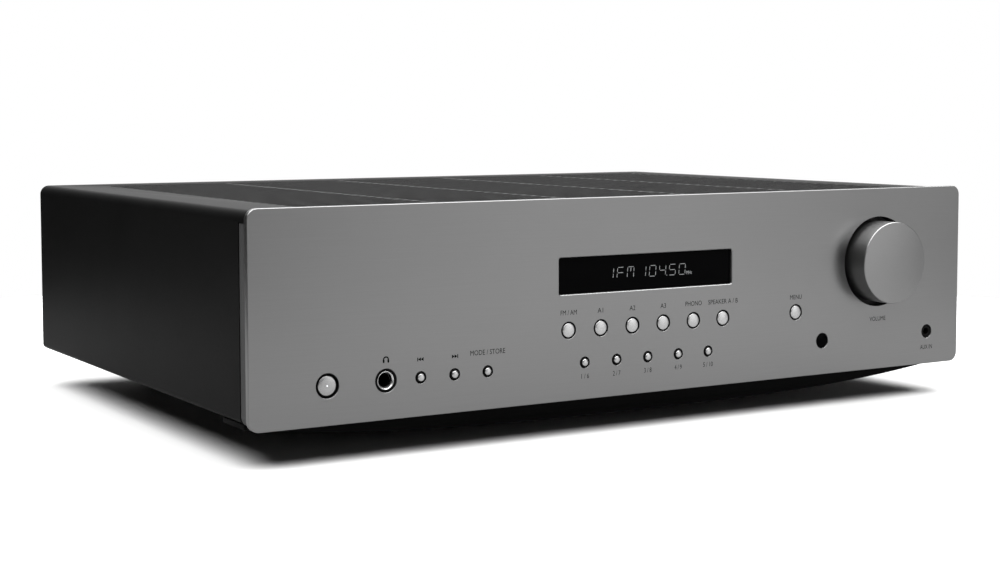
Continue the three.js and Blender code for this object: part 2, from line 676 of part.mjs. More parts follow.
// Bowed below, and stepped above where its ends pass under the cover's lips.
function frontPlinth() {
  const top = FLOOR_Z - GAP;
  const endTop = CASE_BOTTOM - GAP;
  const shoulder = LIP_EDGE - GAP;
  const shape = new THREE.Shape();
  shape.moveTo(-PLINTH.half, endTop);
  for (let i = 0; i <= PLINTH.steps; i++) {
    const x = -PLINTH.half * Math.cos((Math.PI * i) / PLINTH.steps);
    shape.lineTo(x, PANEL_LIFT - PLINTH.drop * (1 - Math.abs(x / PLINTH.half) ** 3));
  }
  shape.lineTo(PLINTH.half, endTop);
  shape.lineTo(shoulder, endTop);
  shape.lineTo(shoulder, top);
  shape.lineTo(-shoulder, top);
  shape.lineTo(-shoulder, endTop);
  return plate(shape, [PLINTH.frontY, PLINTH.backY]);
}

// A round foot with a smaller rubber sole at the floor.
function foot() {
  const top = FLOOR_Z - GAP;
  return upright([[0, 0], [15, 0], [16, 1], [16, 5], [18, 7], [18, top], [0, top]], 20);
}

const FEET = {
  foot_front_left: [-150, -60],
  foot_front_right: [150, -60],
  foot_rear_left: [-150, 106],
  foot_rear_right: [150, 106],
};

// ---------------------------------------------------------------- internals
const TRANSFORMER = { x: -136, y: -52, radius: 54, hole: 13, height: 50 };

function powerTransformer() {
  const z0 = TRAY_TOP_Z + GAP;
  const z1 = z0 + TRANSFORMER.height;
  const { radius, hole } = TRANSFORMER;
  return upright(
    [
      [hole, z0 + 5], [hole + 6, z0], [radius - 9, z0], [radius - 2.5, z0 + 2.5], [radius, z0 + 9],
      [radius, z1 - 9], [radius - 2.5, z1 - 2.5], [radius - 9, z1], [hole + 6, z1], [hole, z1 - 5],
      [hole, z0 + 5],
    ],
    30,
    TRANSFORMER.x,
    TRANSFORMER.y,
  );
}

// A finned heatsink standing on the amplifier board: thick web in front, fins to the back.
function heatsink() {
  const x0 = -20;
  const fins = 18;
  const pitch = 10.6;
  const finHalf = 1.2;
  const y0 = 34;
  const web = 6;
  const y1 = 76;
  const shape = new THREE.Shape();
  shape.moveTo(x0 - finHalf, -y0);
  for (let i = 0; i < fins; i++) {
    const x = x0 + i * pitch;
    shape.lineTo(x - finHalf, -(i ? y0 + web : y0));
    shape.lineTo(x - finHalf, -y1);
    shape.lineTo(x + finHalf, -y1);
    if (i < fins - 1) shape.lineTo(x + finHalf, -(y0 + web));
  }
  shape.lineTo(x0 + (fins - 1) * pitch + finHalf, -y0);
  const z0 = AMP_TOP_Z + GAP;
  const made = new THREE.ExtrudeGeometry(shape, { depth: 64, bevelEnabled: false });
  // drawn with -Y up the page, so that it lies the right way round once mirrored
  return solid(made.scale(1, -1, 1).translate(0, 0, z0));
}

function amplifierBoard() {
  return block([-68, 194], [-126, 118], [AMP_BOARD_Z, AMP_TOP_Z]);
}

const CAPACITORS = { filter_capacitor_front: [-42, -90], filter_capacitor_rear: [-42, -50] };

const filterCapacitor = () =>
  upright([[0, 0], [17, 0], [17.5, 1.5], [17.5, 44], [16.5, 45], [0, 45]], 20);

const tunerModule = () => block([112, 184], [84, 116], [AMP_TOP_Z + GAP, AMP_TOP_Z + 16]);

// The upright board behind the controls, with a tact switch under each stem.
function controlBoard() {
  const board = block([-188, 204], [CONTROL_BOARD_Y, CONTROL_BOARD_Y + BOARD_THICK], [TRAY_TOP_Z + 1, 106]);
  const switches = BUTTONS.map(({ x, z }) =>
    block(around(x, 3), [CONTROL_BOARD_Y - SWITCH_HEIGHT, CONTROL_BOARD_Y + 0.5], around(z, 3)),
  );
  const jackWay = block(
    around(HEADPHONE.x, 8.2), [CONTROL_BOARD_Y - 1, CONTROL_BOARD_Y + 3], around(HEADPHONE.z, 8.2),
  );
  return cut(join(board, ...switches), jackWay);
}

function displayTube() {
  const glass = block(around(0, 50), [PANEL_BACK_Y + 2.2, WALL_BACK_Y + 1], around(WINDOW.z, 9));
  const spacer = block(around(0, 42), [WALL_BACK_Y, CONTROL_BOARD_Y - GAP], around(WINDOW.z, 6));
  return join(glass, spacer);
}

const inputBoard = () =>
  block([62, 206], [REAR_INNER_Y - 11 - GAP - BOARD_THICK, REAR_INNER_Y - 11 - GAP], [AMP_TOP_Z + 3, 104]);

// ---------------------------------------------------------------- the assembly
add("front_panel", frontPanel(), aluminium);
add("front_frame", frontFrame(), blackPlastic);
add("display_window", displayWindow(), darkGlass);
add("sensor_window", sensorWindow(), darkGlass);
add("headphone_jack", headphoneJack(), chrome);
add("aux_jack", auxJack(), blackPlastic);
for (const b of BUTTONS) add(b.name, button(b.kind), buttonMetal).position.set(b.x, FACE_Y, b.z);

const volume = new THREE.Group();
volume.position.set(KNOB.x, FACE_Y, KNOB.z);
receiver.add(volume);
add("volume_knob", volumeKnob(), aluminium, volume);
add("encoder_shaft", encoderShaft(), zincSteel, volume);
add("volume_encoder", volumeEncoder(), zincSteel);

add("top_cover", topCover(), blackSteel);
add("base_tray", baseTray(), zincSteel);
add("rear_panel", rearPanel(), blackSteel);
add("front_plinth", frontPlinth(), blackPlastic);
for (const [name, [x, y]] of Object.entries(FEET)) add(name, foot(), rubber).position.set(x, y, 0);

add("input_jack_block", inputJackBlock(), blackPlastic);
add("speaker_terminal_block", speakerTerminalBlock(), blackPlastic);
SPEAKER_PLACES.forEach(({ x, z }, i) => {
  const name = `speaker_${i < 4 ? "a" : "b"}_cap_${(i % 4) + 1}`;
  add(name, postCap(), i % 2 ? blackPlastic : terminalRed).position.set(x, 0, z);
});
add("mains_inlet", mainsInlet(), blackPlastic);
add("rocker_housing", rockerHousing(), blackPlastic);
const rocker = add("mains_rocker", mainsRocker(), blackPlastic);
rocker.position.set(ROCKER.x, REAR_Y - 3, ROCKER.z);
rocker.rotation.x = ROCKER.tilt;
add("antenna_terminal", antennaTerminal(), blackPlastic);
ANTENNA.leverXs.forEach((x, i) => {
  const lever = add(`antenna_lever_${i + 1}`, antennaLever(), i ? blackPlastic : terminalRed);
  lever.position.set(x, LEVER_PIVOT.y, LEVER_PIVOT.z);
});
add("ground_stud", groundStud(), zincSteel);
add("ground_nut", groundNut(), zincSteel).position.set(GROUND.x, 0, GROUND.z);

add("power_transformer", powerTransformer(), copper);
add("heatsink", heatsink(), heatsinkBlack);
add("amplifier_board", amplifierBoard(), boardGreen);
for (const [name, [x, y]] of Object.entries(CAPACITORS)) {
  add(name, filterCapacitor(), sleeveBlack).position.set(x, y, AMP_TOP_Z + GAP);
}
add("tuner_module", tunerModule(), zincSteel);
add("control_board", controlBoard(), boardGreen);
add("display_tube", displayTube(), darkGlass);
add("input_board", inputBoard(), boardGreen);

export default receiver;
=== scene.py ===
"""The looks of a stereo receiver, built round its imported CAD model.

Metres, +X to the right seen from the front, +Y to the back, +Z up. Sizes named below are in
millimetres where MM multiplies them. Places come from the frame.
"""

import json
import math
import random

import bmesh
import bpy
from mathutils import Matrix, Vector
from mathutils.geometry import tessellate_polygon


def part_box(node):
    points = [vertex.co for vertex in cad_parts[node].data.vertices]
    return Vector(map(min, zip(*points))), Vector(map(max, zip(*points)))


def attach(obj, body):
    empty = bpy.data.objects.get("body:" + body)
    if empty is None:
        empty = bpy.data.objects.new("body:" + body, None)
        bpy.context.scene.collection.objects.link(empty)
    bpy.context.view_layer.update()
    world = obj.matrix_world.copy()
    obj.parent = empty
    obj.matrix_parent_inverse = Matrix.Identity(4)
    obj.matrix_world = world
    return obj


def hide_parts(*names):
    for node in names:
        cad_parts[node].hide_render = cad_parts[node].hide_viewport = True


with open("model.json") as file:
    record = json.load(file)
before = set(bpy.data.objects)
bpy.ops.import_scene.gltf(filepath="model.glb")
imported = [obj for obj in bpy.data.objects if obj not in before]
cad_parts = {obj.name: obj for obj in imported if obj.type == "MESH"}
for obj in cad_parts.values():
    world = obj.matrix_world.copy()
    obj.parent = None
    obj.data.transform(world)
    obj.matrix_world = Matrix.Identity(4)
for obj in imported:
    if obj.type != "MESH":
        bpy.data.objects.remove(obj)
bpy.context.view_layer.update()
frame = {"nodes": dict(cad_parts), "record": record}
nodes = frame["nodes"]

MM = 0.001

# ---- places taken from the frame


def middle(node):
    low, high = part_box(node)
    return (low + high) / 2


PANEL_LOW, PANEL_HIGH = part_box("front_panel")
FACE_Y = PANEL_LOW.y
PANEL_BACK_Y = PANEL_HIGH.y
PANEL_TOP = PANEL_HIGH.z
PANEL_THICKNESS = (PANEL_BACK_Y - FACE_Y) / MM
REAR_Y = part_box("rear_panel")[1].y
COVER_LOW, COVER_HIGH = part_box("top_cover")


def span(node, axis):
    """A piece's middle, and where it starts and ends along an axis in millimetres."""
    low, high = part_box(node)
    return (low + high) / 2, low[axis] / MM, high[axis] / MM


def on_face(node):
    """The point on the panel's face in front of a piece's middle."""
    spot = middle(node)
    return (spot.x, FACE_Y, spot.z)


def depth_of(node):
    """How far a piece reaches behind the panel's face, in millimetres."""
    return (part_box(node)[1].y - FACE_Y) / MM


SMALL_BUTTONS = ["previous_button", "next_button", "mode_button"]
SMALL_BUTTONS += [f"preset_{n}_button" for n in (1, 2, 3, 4, 5)]
SOURCE_BUTTONS = ["tuner_button", "input_1_button", "input_2_button", "input_3_button"]
SOURCE_BUTTONS += ["phono_button", "speaker_button"]
BODY_OF = {node: body for body, members in frame["record"]["behaviour"]["bodies"].items() for node in members}

# Button kinds in millimetres: the radii of the panel's hole, the black plunger and its bright face, and
# how far the face stands out of the panel.
SMALL = {"hole": 2.85, "cap": 2.3, "face": 1.7, "reach": 0.7}
MEDIUM = {"hole": 4.25, "cap": 3.7, "face": 3.4, "reach": 0.2}
LARGE = {"hole": 5.75, "cap": 4.75, "face": 4.45, "reach": -0.3}
KIND_OF = {name: SMALL for name in SMALL_BUTTONS}
KIND_OF.update({name: MEDIUM for name in SOURCE_BUTTONS + ["menu_button"]})
KIND_OF["power_button"] = LARGE

KNOB = {"radius": 22.0, "well": 24.4, "reach": 12.5}
WINDOW = {"width": 106.0, "height": 17.9, "corner": 1.0, "recess": 1.5}
# The panel's other round holes: the node, the radius and how many sides the circle has.
OTHER_HOLES = [
    ("volume_knob", KNOB["well"], 128),
    ("headphone_jack", 5.55, 56),
    ("aux_jack", 3.75, 48),
    ("sensor_window", 4.15, 48),
]
VENTS = {"bays": 5, "pitch": 74.0, "width": 71.0, "rows": 28, "slot": 5.7, "step": 9.2, "front": 21.0}

# ---- materials


def add_node(owner, kind, values=(), links=()):
    """A new node in a material or world, with values on its sockets and links into them."""
    made = owner.node_tree.nodes.new(kind)
    for socket, value in dict(values).items():
        made.inputs[socket].default_value = value
    for socket, output in dict(links).items():
        owner.node_tree.links.new(output, made.inputs[socket])
    return made


def plain(name, color, roughness, metallic=0.0, specular=0.5):
    """A material with its even values set on the shader's own sockets."""
    material = bpy.data.materials.new(name)
    material.use_nodes = True
    shader = material.node_tree.nodes["Principled BSDF"]
    shader.inputs["Base Color"].default_value = (*color, 1)
    shader.inputs["Roughness"].default_value = roughness
    shader.inputs["Metallic"].default_value = metallic
    shader.inputs["Specular IOR Level"].default_value = specular
    return material, shader


def texture_place(material, scale):
    """The object's own coordinates, in metres, times scale."""
    place = add_node(material, "ShaderNodeTexCoord").outputs["Object"]
    return add_node(material, "ShaderNodeMapping", {"Scale": scale}, {"Vector": place}).outputs["Vector"]


def noise(material, vector, detail=3.0, roughness=0.5):
    values = {"Scale": 1.0, "Detail": detail, "Roughness": roughness}
    return add_node(material, "ShaderNodeTexNoise", values, {"Vector": vector}).outputs["Fac"]


def spread(material, value, low, high, start=0.3, end=0.7):
    """Maps a noise value from start..end to low..high."""
    values = {"From Min": start, "From Max": end, "To Min": low, "To Max": high}
    return add_node(material, "ShaderNodeMapRange", values, {"Value": value}).outputs["Result"]


def tint(material, shader, value, dark, light):
    """Base colour between two tones."""
    ramp = add_node(material, "ShaderNodeValToRGB", links={"Fac": value})
    for stop, position, color in zip(ramp.color_ramp.elements, (0.3, 0.7), (dark, light)):
        stop.position = position
        stop.color = (*color, 1)
    material.node_tree.links.new(ramp.outputs["Color"], shader.inputs["Base Color"])


def sheen(material, shader, value, low, high):
    """Roughness between two values."""
    material.node_tree.links.new(spread(material, value, low, high), shader.inputs["Roughness"])


def bump(material, shader, value, height, strength=1.0):
    made = add_node(material, "ShaderNodeBump", {"Distance": height, "Strength": strength}, {"Height": value})
    material.node_tree.links.new(made.outputs["Normal"], shader.inputs["Normal"])


def shade(value, warmth=0.0):
    """A grey, a little warm or cool."""
    return (value * (1 + warmth), value, value * (1 - warmth))


def grained_aluminium(name, tone, roughness):
    """Satin anodised aluminium with a fine grain along X."""
    material, shader = plain(name, shade(tone), roughness, metallic=1.0)
    grain = noise(material, texture_place(material, (30, 700, 9000)), detail=4.0, roughness=0.65)
    cloud = noise(material, texture_place(material, (9, 9, 14)), detail=2.0)
    links = material.node_tree.links
    both = add_node(material, "ShaderNodeMath")
    both.operation = "MULTIPLY_ADD"
    both.inputs[1].default_value = 0.25
    links.new(cloud, both.inputs[0])
    links.new(spread(material, grain, 0.0, 0.75, 0.0, 1.0), both.inputs[2])
    tint(material, shader, both.outputs[0], shade(tone * 0.93), shade(tone * 1.07))
    sheen(material, shader, grain, roughness - 0.05, roughness + 0.06)
    bump(material, shader, grain, 0.000012, 0.5)
    return material


def turned_aluminium(name, tone, roughness, fineness=9000.0):
    """Aluminium faced on a lathe: fine rings round the piece's own Y axis."""
    material, shader = plain(name, shade(tone), roughness, metallic=1.0)
    links = material.node_tree.links
    flat = texture_place(material, (1, 0, 1))
    length = add_node(material, "ShaderNodeVectorMath")
    length.operation = "LENGTH"
    links.new(flat, length.inputs[0])
    rings = add_node(material, "ShaderNodeTexNoise", {"Scale": fineness, "Detail": 3.0})
    rings.noise_dimensions = "1D"
    links.new(length.outputs["Value"], rings.inputs["W"])
    tint(material, shader, rings.outputs["Fac"], shade(tone * 0.9), shade(tone * 1.08))
    sheen(material, shader, rings.outputs["Fac"], roughness - 0.05, roughness + 0.08)
    bump(material, shader, rings.outputs["Fac"], 0.00001, 0.5)
    return material


def coated(name, tone, roughness, specular, speck=3500.0, height=0.00003):
    """Powder coat or moulded texture: a fine even orange peel."""
    material, shader = plain(name, shade(tone), roughness, specular=specular)
    peel = noise(material, texture_place(material, (speck, speck, speck)), detail=2.0)
    wide = noise(material, texture_place(material, (20, 20, 20)), detail=3.0)
    tint(material, shader, wide, shade(tone * 0.85), shade(tone * 1.15))
    sheen(material, shader, peel, roughness - 0.05, roughness + 0.05)
    bump(material, shader, peel, height, 0.35)
    return material


def glossy(name, color, roughness=0.12, specular=0.5):
    """Moulded gloss plastic with faint flow marks."""
    material, shader = plain(name, color, roughness, specular=specular)
    flow = noise(material, texture_place(material, (120, 120, 120)), detail=2.0)
    dark = tuple(c * 0.9 for c in color)
    light = tuple(c * 1.1 for c in color)
    tint(material, shader, flow, dark, light)
    sheen(material, shader, flow, roughness * 0.8, roughness * 1.3)
    return material


def plated(name, tone, roughness, warmth=0.0):
    """Nickel, chrome or zinc plating with faint cloudiness."""
    material, shader = plain(name, shade(tone, warmth), roughness, metallic=1.0)
    cloud = noise(material, texture_place(material, (260, 260, 260)), detail=4.0)
    tint(material, shader, cloud, shade(tone * 0.86, warmth), shade(tone, warmth))
    sheen(material, shader, cloud, roughness * 0.7, roughness * 1.4)
    bump(material, shader, cloud, 0.00001, 0.3)
    return material


def circuit_board(name):
    """Green solder mask with lighter tracks under it."""
    material, shader = plain(name, (0.005, 0.027, 0.014), 0.5, specular=0.3)
    values = {
        "Scale": 1.0,
        "Mortar Size": 0.16,
        "Brick Width": 2.6,
        "Row Height": 1.0,
        "Color1": (0.004, 0.022, 0.012, 1),
        "Color2": (0.005, 0.027, 0.014, 1),
        "Mortar": (0.010, 0.050, 0.022, 1),
    }
    place = texture_place(material, (220, 220, 220))
    tracks = add_node(material, "ShaderNodeTexBrick", values, {"Vector": place})
    material.node_tree.links.new(tracks.outputs["Color"], shader.inputs["Base Color"])
    bump(material, shader, tracks.outputs["Fac"], 0.00003, 0.4)
    return material


WIRE_TURNS = 150


def wound_copper(name):
    """Varnished turns of wire, side by side round a ring that stands on its Z axis, with painted shade
    darkening the grooves between the turns.
    """
    material, shader = plain(name, (0.36, 0.15, 0.06), 0.35, metallic=0.85)
    place = texture_place(material, (1, 1, 1))
    gradient = add_node(material, "ShaderNodeTexGradient", links={"Vector": place})
    gradient.gradient_type = "RADIAL"
    turns = add_node(material, "ShaderNodeMath", {1: 2 * math.pi * WIRE_TURNS}, {0: gradient.outputs["Fac"]})
    turns.operation = "MULTIPLY"
    wave = add_node(material, "ShaderNodeMath", links={0: turns.outputs[0]})
    wave.operation = "SINE"
    # Painted shade: the wire's colour is darkest in the groove between two turns and lightest on each crest,
    # following the bump.
    groove_shade = spread(material, wave.outputs[0], 0, 1, -1, 1)
    tint(material, shader, groove_shade, (0.08, 0.03, 0.012), (0.22, 0.09, 0.035))
    bump(material, shader, wave.outputs[0], 0.0003, 0.6)
    return material


def glowing(name, color, strength):
    material, shader = plain(name, tuple(c * 0.3 for c in color), 0.5)
    shader.inputs["Emission Color"].default_value = (*color, 1)
    shader.inputs["Emission Strength"].default_value = strength
    cells = noise(material, texture_place(material, (6000, 6000, 6000)), detail=0.0)
    tint(material, shader, cells, tuple(c * 0.2 for c in color), tuple(c * 0.4 for c in color))
    return material


PANEL_METAL = grained_aluminium("panel_metal", 0.20, 0.34)
KNOB_METAL = turned_aluminium("knob_metal", 0.23, 0.34, 5000.0)
POWER_METAL = turned_aluminium("power_metal", 0.36, 0.30, 4000.0)
BUTTON_METAL = turned_aluminium("button_metal", 0.46, 0.30, 9000.0)
COVER_PAINT = coated("cover_paint", 0.004, 0.42, 0.02)
FRAME_PLASTIC = coated("frame_plastic", 0.034, 0.55, 0.3, 2600.0)
PLINTH_PLASTIC = coated("plinth_plastic", 0.002, 0.5, 0.03, 2600.0)
PLUNGER_BLACK = coated("plunger_black", 0.002, 0.5, 0.1, 4000.0)
RING_STEEL = plated("ring_steel", 0.6, 0.28)
SOCKET_BLACK = coated("socket_black", 0.002, 0.35, 0.05, 4000.0)
REAR_PAINT = coated("rear_paint", 0.014, 0.55, 0.3)
WINDOW_GLASS = glossy("window_glass", (0.0008, 0.0008, 0.0009), 0.06, 0.01)
BLACK_GLOSS = glossy("black_gloss", (0.012, 0.012, 0.012), 0.16)
RED_GLOSS = glossy("red_gloss", (0.42, 0.012, 0.010), 0.16)
WHITE_GLOSS = glossy("white_gloss", (0.62, 0.62, 0.60), 0.25)
CHROME = plated("chrome", 0.78, 0.10)
ZINC = plated("zinc", 0.45, 0.34, 0.02)
TRAY_STEEL = plated("tray_steel", 0.09, 0.45, 0.02)
SCREW_BLACK = plated("screw_black", 0.05, 0.30)
RUBBER = coated("rubber", 0.015, 0.85, 0.2, 1800.0, 0.00008)
BOARD = circuit_board("board")
COPPER = wound_copper("copper")
SLEEVE = glossy("sleeve", (0.014, 0.014, 0.02), 0.3)
HEATSINK = coated("heatsink_anodised", 0.02, 0.45, 0.5, 900.0)
INK = coated("ink", 0.0015, 0.6, 0.02, 5000.0, 0.000002)
WHITE_INK = coated("white_ink", 0.62, 0.6, 0.3, 5000.0, 0.000002)
DIGIT_GLOW = glowing("digit_glow", (0.82, 0.84, 0.86), 0.07)
LAMP_GLOW = glowing("lamp_glow", (0.95, 0.97, 1.0), 1.6)

# ---- outlines and profiles, in millimetres


def circle(radius, centre=(0, 0), steps=48):
    turns = [2 * math.pi * i / steps for i in range(steps)]
    return [(centre[0] + radius * math.cos(a), centre[1] + radius * math.sin(a)) for a in turns]


def round_rect(half_x, half_y, radius, centre=(0, 0), steps=6):
    """A rectangle with round corners; with radius equal to half_y its ends are half circles."""
    points = []
    for corner, (sx, sy) in enumerate([(1, 1), (-1, 1), (-1, -1), (1, -1)]):
        cx = centre[0] + sx * (half_x - radius)
        cy = centre[1] + sy * (half_y - radius)
        for i in range(steps + 1):
            a = math.pi / 2 * (corner + i / steps)
            points.append((cx + radius * math.cos(a), cy + radius * math.sin(a)))
    return points


def eased(points, closed=False, steps=4):
    """A profile whose corners are rounded: each point is (a, b) or (a, b, how far the curve starts)."""
    made = []
    count = len(points)
    for i, point in enumerate(points):
        reach = point[2] if len(point) > 2 else 0
        at = Vector(point[:2])
        if not reach or (not closed and i in (0, count - 1)):
            made.append(tuple(at))
            continue
        before = Vector(points[i - 1][:2]) - at
        after = Vector(points[(i + 1) % count][:2]) - at
        start = at + before.normalized() * min(reach, before.length * 0.49)
        end = at + after.normalized() * min(reach, after.length * 0.49)
        for k in range(steps + 1):
            t = k / steps
            made.append(tuple(start * (1 - t) ** 2 + at * 2 * t * (1 - t) + end * t * t))
    return made


# ---- meshes


def finish_mesh(name, build, material, smooth=32.0, at=(0, 0, 0)):
    """Turns a bmesh in millimetres into an object, with edges sharper than smooth degrees kept crisp."""
    bmesh.ops.scale(build, vec=(MM, MM, MM), verts=build.verts)
    bmesh.ops.remove_doubles(build, verts=build.verts, dist=1e-7)
    bmesh.ops.recalc_face_normals(build, faces=build.faces)
    for face in build.faces:
        face.smooth = True
    for edge in build.edges:
        edge.smooth = len(edge.link_faces) == 2 and edge.calc_face_angle(0) < math.radians(smooth)
    mesh = bpy.data.meshes.new(name)
    build.to_mesh(mesh)
    build.free()
    made = bpy.data.objects.new(name, mesh)
    made.location = at
    bpy.context.scene.collection.objects.link(made)
    mesh.materials.append(material)
    return made


def put(piece, body, slot, *replaced):
    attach(piece, body)
    if replaced:
        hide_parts(*replaced)
    return piece


def add_walls(build, walls, place):
    """Closed solid between stacked outlines. walls[0] is the outside and the rest are holes; each is a
    list of (outline, height) with equally many points. place turns a point and a height into 3-D."""
    ends = ([], [])
    for wall in walls:
        rings = [[build.verts.new(place(p, height)) for p in outline] for outline, height in wall]
        for ring, upper in zip(rings, rings[1:]):
            for i in range(len(ring)):
                k = (i + 1) % len(ring)
                build.faces.new((ring[i], ring[k], upper[k], upper[i]))
        ends[0].append(rings[0])
        ends[1].append(rings[-1])
    for loops in ends:
        flat = [v for loop in loops for v in loop]
        for triangle in tessellate_polygon([[v.co for v in loop] for loop in loops]):
            corners = [flat[i] for i in triangle]
            if len(set(corners)) == 3:
                build.faces.new(corners)


def upright(point, height):
    """A point in the XZ plane, with height towards +Y."""
    return (point[0], height, point[1])


def level(point, height):
    """A point in the XY plane, with height towards +Z."""
    return (point[0], point[1], height)


def add_lathe(build, profile, steps=48, axis="Y", centre=(0, 0, 0), closed=False):
    """Turns a profile of (radius, along) about an axis through centre."""
    rings = []
    for radius, along in profile:
        count = steps if radius > 1e-6 else 1
        ring = []
        for i in range(count):
            a = 2 * math.pi * i / steps
            x, y = radius * math.cos(a), radius * math.sin(a)
            spot = (x, along, y) if axis == "Y" else (x, y, along)
            ring.append(build.verts.new(Vector(spot) + Vector(centre)))
        rings.append(ring)
    pairs = list(zip(rings, rings[1:])) + ([(rings[-1], rings[0])] if closed else [])
    for low, high in pairs:
        for i in range(steps):
            k = (i + 1) % steps
            corners = [low[i % len(low)], low[k % len(low)], high[k % len(high)], high[i % len(high)]]
            unique = list(dict.fromkeys(corners))
            if len(unique) > 2:
                build.faces.new(unique)


def turned(name, profile, material, at, steps=64, axis="Y", closed=False):
    build = bmesh.new()
    add_lathe(build, profile, steps, axis, closed=closed)
    return finish_mesh(name, build, material, at=at)


def add_prism(build, outline, low, high, place=upright, ease=0.0):
    """A flat outline given thickness, with an optional small chamfer at its high end."""
    wall = [(outline, low), (outline, high)]
    if ease:
        cx = sum(p[0] for p in outline) / len(outline)
        cy = sum(p[1] for p in outline) / len(outline)
        reach = max(math.hypot(p[0] - cx, p[1] - cy) for p in outline)
        keep = 1 - ease / reach
        inner = [(cx + (p[0] - cx) * keep, cy + (p[1] - cy) * keep) for p in outline]
        wall = [(outline, low), (outline, high - math.copysign(ease, high - low)), (inner, high)]
    add_walls(build, [wall], place)


def rounded_box(build, low, high, radius, steps=3):
    """A block whose edges are rounded, from one corner to the other."""
    start = bmesh.ops.create_cube(build, size=1.0)["verts"]
    low, high = Vector(low), Vector(high)
    for vert in start:
        vert.co = Vector([low[i] + (vert.co[i] + 0.5) * (high[i] - low[i]) for i in range(3)])
    edges = list({e for v in start for e in v.link_edges})
    bmesh.ops.bevel(build, geom=edges, offset=radius, segments=steps, profile=0.5, affect="EDGES")


# ---- front panel
PANEL_CORNER = 5.0
EDGE_CHAMFER = 0.2
WINDOW_CHAMFER = 0.4
HOLE_CHAMFER = 0.1


def panel_wall(outline_at, chamfer, grows):
    """An outline down through the panel; outline_at gives it at any growth outwards."""
    front, back = FACE_Y / MM, PANEL_BACK_Y / MM
    lift = chamfer if grows else -chamfer
    return [
        (outline_at(lift), front),
        (outline_at(lift * 0.35), front + chamfer * 0.45),
        (outline_at(0), front + chamfer * 1.2),
        (outline_at(0), back),
    ]


def front_panel():
    width = (PANEL_HIGH.x - PANEL_LOW.x) / 2 / MM
    height = (PANEL_HIGH.z - PANEL_LOW.z) / 2 / MM
    centre = (0, (PANEL_HIGH.z + PANEL_LOW.z) / 2 / MM)
    window = middle("display_window") / MM

    def edge(grown):
        return round_rect(width + grown, height + grown, PANEL_CORNER + grown, centre, 10)

    def window_edge(grown):
        half_x, half_y = WINDOW["width"] / 2 + grown, WINDOW["height"] / 2 + grown
        return round_rect(half_x, half_y, WINDOW["corner"] + grown, (window.x, window.z), 6)

    walls = [panel_wall(edge, EDGE_CHAMFER, False), panel_wall(window_edge, WINDOW_CHAMFER, True)]
    button_holes = [(node, KIND_OF[node]["hole"], 48) for node in KIND_OF]
    for node, radius, steps in button_holes + OTHER_HOLES:
        spot = middle(node) / MM
        walls.append(
            panel_wall(
                lambda g, r=radius, c=(spot.x, spot.z), n=steps: circle(r + g, c, n), HOLE_CHAMFER, True
            )
        )
    build = bmesh.new()
    add_walls(build, walls, upright)
    put(finish_mesh("panel_plate", build, PANEL_METAL), "chassis", "panel_aluminium", "front_panel")


# ---- controls


FLANGE = {"gap": 0.3, "overlap": 0.9}
STEM_RADIUS = 1.4


def button(node):
    """A black plunger with a bright turned face let into its end, a flange behind the panel and a stem."""
    kind = KIND_OF[node]
    cap, face, front = kind["cap"], kind["face"], -kind["reach"]
    stem_end = depth_of(node)
    flange = PANEL_THICKNESS + FLANGE["gap"]
    rim = kind["hole"] + FLANGE["overlap"]
    plunger = eased(
        [
            (0, front + 0.45),
            (cap, front + 0.45, 0.25),
            (cap, flange),
            (rim, flange, 0.2),
            (rim, flange + 1, 0.2),
            (STEM_RADIUS, flange + 1),
            (STEM_RADIUS, stem_end, 0.2),
            (0, stem_end),
        ]
    )
    back = front + 0.8
    disc = eased([(0, front), (face * 0.6, front + 0.05), (face, front + 0.2, 0.3), (face, back), (0, back)])
    at = on_face(node)
    put(turned(f"{node}_plunger", plunger, PLUNGER_BLACK, at, 56), BODY_OF[node], "frame_black")
    metal = POWER_METAL if kind is LARGE else BUTTON_METAL
    put(turned(f"{node}_face", disc, metal, at, 56), BODY_OF[node], "button_metal", node)


def power_lamp():
    """The pin-sized lamp in the middle of the power button."""
    front = -LARGE["reach"]
    profile = [(0, front - 0.12), (0.2, front - 0.1), (0.32, front), (0.32, front + 0.3), (0, front + 0.3)]
    piece = turned("power_lamp", profile, LAMP_GLOW, on_face("power_button"), 24)
    put(piece, "power", "button_metal")


def volume_knob():
    """A turned cup: flat face, bright bevel and a plain side that runs back into the well."""
    back = depth_of("volume_knob")
    front = -KNOB["reach"]
    radius = KNOB["radius"]
    profile = eased(
        [
            (0, front),
            (radius - 0.35, front, 0.08),
            (radius - 0.05, front + 0.3, 0.08),
            (radius, front + 1.2),
            (radius, back, 0.3),
            (radius - 2.5, back, 0.3),
            (radius - 2.5, front + 3, 1.0),
            (6, front + 3, 0.6),
            (6, 2.5, 0.3),
            (3.3, 2.5, 0.2),
            (3.3, front + 6),
            (0, front + 6),
        ]
    )
    piece = turned("volume_knob_turned", profile, KNOB_METAL, on_face("volume_knob"), 160)
    put(piece, "volume", "panel_aluminium", "volume_knob")


def headphone_socket():
    """A black nut, a plated ring that slopes into the bore, and the moulded body behind."""
    at = on_face("headphone_jack")
    depth = depth_of("headphone_jack")
    back = PANEL_THICKNESS + 2
    collar = eased([(4.25, 0.45, 0.1), (5.45, 0.35, 0.15), (5.45, back), (4.25, back)], closed=True)
    ring = eased([(3.3, 1.3, 0.8), (3.9, 0.3, 0.4), (4.2, 0.3, 0.1), (4.2, 3.0), (3.3, 3.0)], closed=True)
    put(turned("headphone_collar", collar, SOCKET_BLACK, at, 64, closed=True), "chassis", "frame_black")
    ring_piece = turned("headphone_ring", ring, RING_STEEL, at, 64, closed=True)
    put(ring_piece, "chassis", "socket_chrome", "headphone_jack")
    tube = [(3.25, 3.1), (4.4, 3.1), (4.4, depth - 1), (0, depth - 1), (0, depth - 3), (3.25, depth - 3)]
    put(turned("headphone_tube", tube, SOCKET_BLACK, at, 40, closed=True), "chassis", "frame_black")


